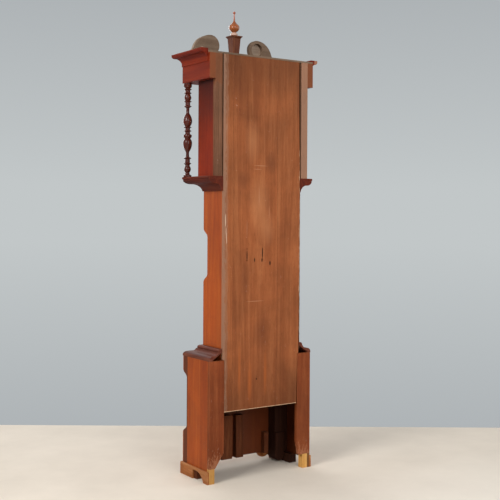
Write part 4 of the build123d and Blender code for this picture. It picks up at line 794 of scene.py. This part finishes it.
# Gut lines: twisted gut from each barrel down through the seatboard, round a pulley and up again.
# The falls lengthen as the weight goes down.
gut = metal("gut", tone(196, 164, 112), tone(150, 116, 70), 0.6, 0.0)
gut_radius = 0.001
gut_y = 0.077
seat_under = 1.597
pulley_z = 1.563
pulley_x = 0.039
pulley_r = 0.028
barrel_rise = 0.0706
fall_steps = 24


def gut_disc(x, z):
    """End of a gut line, as a small disc that faces down, left open for editing."""
    bpy.ops.object.select_all(action="DESELECT")
    bpy.ops.mesh.primitive_circle_add(
        vertices=10, radius=gut_radius, fill_type="NGON", location=(x, gut_y, z)
    )
    piece = bpy.context.object
    bpy.ops.object.transform_apply(location=True, rotation=True, scale=True)
    bpy.ops.object.mode_set(mode="EDIT")
    bpy.ops.mesh.select_all(action="SELECT")
    return piece


def gut_finished(piece, name, train):
    """Closes the skin of a gut line and says what it stands for."""
    bpy.ops.mesh.select_all(action="SELECT")
    bpy.ops.mesh.remove_doubles(threshold=0.000001)
    bpy.ops.mesh.normals_make_consistent(inside=False)
    bpy.ops.object.mode_set(mode="OBJECT")
    bpy.ops.object.shade_smooth_by_angle(angle=math.radians(50))
    piece.name = name
    piece.data.materials.append(gut)
    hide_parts(f"gut_line_{train}")


def gut_length(name, train, x, low_z, high_z, cuts):
    """Straight length of gut, pulled up from its lower end in short steps."""
    piece = gut_disc(x, low_z)
    for cut in range(cuts):
        step = (0, 0, (high_z - low_z) / cuts)
        bpy.ops.mesh.extrude_region_move(TRANSFORM_OT_translate={"value": step})
    gut_finished(piece, name, train)
    return piece


for train, side in (("going", 1), ("strike", -1)):
    weight = f"weight_{train}"
    for number, reach in ((1, -pulley_r), (2, pulley_r)):
        x = side * (pulley_x + reach)
        fall = gut_length(f"gut_fall_{train}_{number}", train, x, pulley_z, seat_under, fall_steps)
        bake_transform(fall)
    x = side * (pulley_x - pulley_r)
    top = gut_length(f"gut_top_{train}", train, x, seat_under, seat_under + barrel_rise, 4)
    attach(top, "case")
    loop = gut_disc(x, pulley_z)
    bpy.ops.mesh.spin(
        steps=32, angle=side * math.pi, center=(side * pulley_x, gut_y, pulley_z), axis=(0, -1, 0)
    )
    gut_finished(loop, f"gut_loop_{train}", train)
    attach(loop, weight)

# Split edge: a sliver of the backboard's right plank that has opened along the grain.
# It is raw pine, still nailed to the case, and its outer edge is torn ragged.
split_low, split_high = 0.6, 2.02
split_inner, split_outer = -0.2256, -0.2288
split_back, split_front = 0.1465, 0.1385
split_steps = 150
split_ragged = 0.0009
bpy.ops.object.select_all(action="DESELECT")
bpy.ops.mesh.primitive_grid_add(x_subdivisions=2, y_subdivisions=split_steps, size=1)
split = bpy.context.object
split.name = "backboard_split_edge"
bpy.ops.object.mode_set(mode="EDIT")
bpy.ops.mesh.select_all(action="SELECT")
bpy.ops.transform.resize(value=(abs(split_outer - split_inner), split_high - split_low, 1))
bpy.ops.transform.vertex_random(offset=split_ragged, normal=0, seed=7)
bpy.ops.mesh.extrude_region_move(TRANSFORM_OT_translate={"value": (0, 0, split_back - split_front)})
bpy.ops.mesh.select_all(action="SELECT")
bpy.ops.mesh.normals_make_consistent(inside=False)
bpy.ops.object.mode_set(mode="OBJECT")
split.rotation_euler = (math.pi / 2, 0, 0)
split.location = ((split_inner + split_outer) / 2, split_back, (split_low + split_high) / 2)
bpy.ops.object.transform_apply(location=True, rotation=True, scale=True)
bpy.ops.object.shade_smooth_by_angle(angle=math.radians(35))
split_wood = wood(
    "split_pine", tone(58, 34, 24), tone(104, 66, 44), tone(146, 102, 70), rough=0.8, shift=(
        0.4, 0.8, 0.1
    )
)
split.data.materials.append(split_wood)
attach(split, "case")


# Studio: a plain pale floor that ends behind the clock, painted brighter towards the camera as a
# painted pool of light, and soft lamps at a plain level.
# The camera stands behind the clock, on the hinge side, at the photo's height and distance.
view_turn = math.radians(33.94)
view_distance = 4.5526
view_height = 1.2678
view_side = 0.0605
floor_behind = 1.06
floor_width = 9.0
floor_length = 6.4
rear = 0.148
forward = Vector((-math.sin(view_turn), -math.cos(view_turn), 0))
right = Vector((-math.cos(view_turn), math.sin(view_turn), 0))
up = Vector((0, 0, 1))
stand = -forward * view_distance - right * view_side + Vector((0, rear, 0))
bpy.ops.object.select_all(action="DESELECT")
floor_middle = stand + forward * (view_distance + floor_behind - floor_length / 2)
bpy.ops.mesh.primitive_plane_add(size=1, location=floor_middle, rotation=(0, 0, -view_turn))
floor = bpy.context.object
floor.name = "studio_floor"
floor.scale = (floor_width, floor_length, 1)
bpy.ops.object.transform_apply(location=True, rotation=True, scale=True)
floor_material, tree, shader = new_material("studio_floor")
plain = add_node(tree, "ShaderNodeTexCoord").outputs["Object"]
floor_tone = ramp(
    tree,
    noise(tree, plain, 3.0, 6.0, 0.6),
    ((0.3, tone(218, 207, 192)), (0.7, tone(228, 217, 202))),
)
# Painted light: the floor is blended towards near-white the nearer it lies to the camera.
painted_light_nearness = add_node(tree, "ShaderNodeSeparateXYZ", {"Vector": plain}).outputs["Y"]
painted_light_reach = 3.0
painted_light_nearness = sums(tree, "DIVIDE", painted_light_nearness, painted_light_reach)
painted_light_nearness = ramp(tree, painted_light_nearness, ((0.12, grey(0.0)), (0.7, grey(0.75))))
floor_tone = blend_colour(tree, "MIX", painted_light_nearness, floor_tone, tone(255, 250, 240))
tree.links.new(floor_tone, shader.inputs["Base Color"])
shader.inputs["Roughness"].default_value = 0.8
shader.inputs["Specular IOR Level"].default_value = 0.2
floor.data.materials.append(floor_material)

camera_data = bpy.data.cameras.new("camera")
camera = bpy.data.objects.new("camera", camera_data)
bpy.context.collection.objects.link(camera)
picture_size = 500
focal_pixels = 937.6
middle_row = 218.6
camera_data.sensor_width = 36.0
camera_data.lens = camera_data.sensor_width * focal_pixels / picture_size
camera_data.shift_y = -(picture_size / 2 - middle_row) / picture_size
pitch = math.radians(-0.24)
roll = math.radians(0.31)
look = forward * math.cos(pitch) + up * math.sin(pitch)
over = right.cross(look)
side = right * math.cos(roll) + over * math.sin(roll)
camera.location = stand + up * view_height
camera.rotation_mode = "QUATERNION"
camera_axes = Matrix((side, look.cross(side) * -1, look * -1)).transposed()
camera.rotation_quaternion = camera_axes.to_quaternion()
bpy.context.scene.camera = camera


def soft_lamp(name, place, size, power, colour):
    """Square lamp that points at the middle of the clock."""
    data = bpy.data.lights.new(name, "AREA")
    data.shape = "SQUARE"
    data.size = size
    data.energy = power
    data.color = colour
    lamp = bpy.data.objects.new(name, data)
    bpy.context.collection.objects.link(lamp)
    lamp.location = place
    aim = Vector((0, 0, 1.2)) - Vector(place)
    lamp.rotation_euler = aim.to_track_quat("-Z", "Y").to_euler()


soft_lamp("key", (3.8, 1.2, 3.4), 1.8, 150, (1.0, 0.98, 0.95))
soft_lamp("rear", (0.4, 4.6, 2.8), 3.0, 105, (1.0, 1.0, 1.0))
soft_lamp("fill", (-3.6, 1.8, 2.6), 3.0, 40, (0.95, 0.97, 1.0))
soft_lamp("face", (-0.5, -4.6, 2.6), 3.2, 110, (1.0, 1.0, 1.0))

world = bpy.data.worlds.new("studio")
bpy.context.scene.world = world
world.use_nodes = True
tree = world.node_tree
tree.nodes.clear()
output = tree.nodes.new("ShaderNodeOutputWorld")
ray = tree.nodes.new("ShaderNodeLightPath")
lit = add_node(tree, "ShaderNodeBackground", {"Color": (0.80, 0.83, 0.86, 1), "Strength": 0.36})
towards = add_node(tree, "ShaderNodeTexCoord").outputs["Generated"]
rise = add_node(tree, "ShaderNodeSeparateXYZ", {"Vector": towards}).outputs["Z"]
rise = sums(tree, "ABSOLUTE", rise, 0.0)
paper = ramp(tree, rise, ((0.03, tone(194, 199, 200)), (0.24, tone(172, 177, 180))))
shown = add_node(tree, "ShaderNodeBackground", {"Color": paper, "Strength": 1.0})
seen = sums(tree, "MAXIMUM", ray.outputs["Is Camera Ray"], ray.outputs["Is Transmission Ray"])
seen = sums(tree, "MAXIMUM", seen, ray.outputs["Is Glossy Ray"])
mixed = add_node(tree, "ShaderNodeMixShader", {0: seen, 1: lit.outputs[0], 2: shown.outputs[0]})
tree.links.new(mixed.outputs[0], output.inputs["Surface"])
bpy.context.scene.view_settings.view_transform = "Standard"
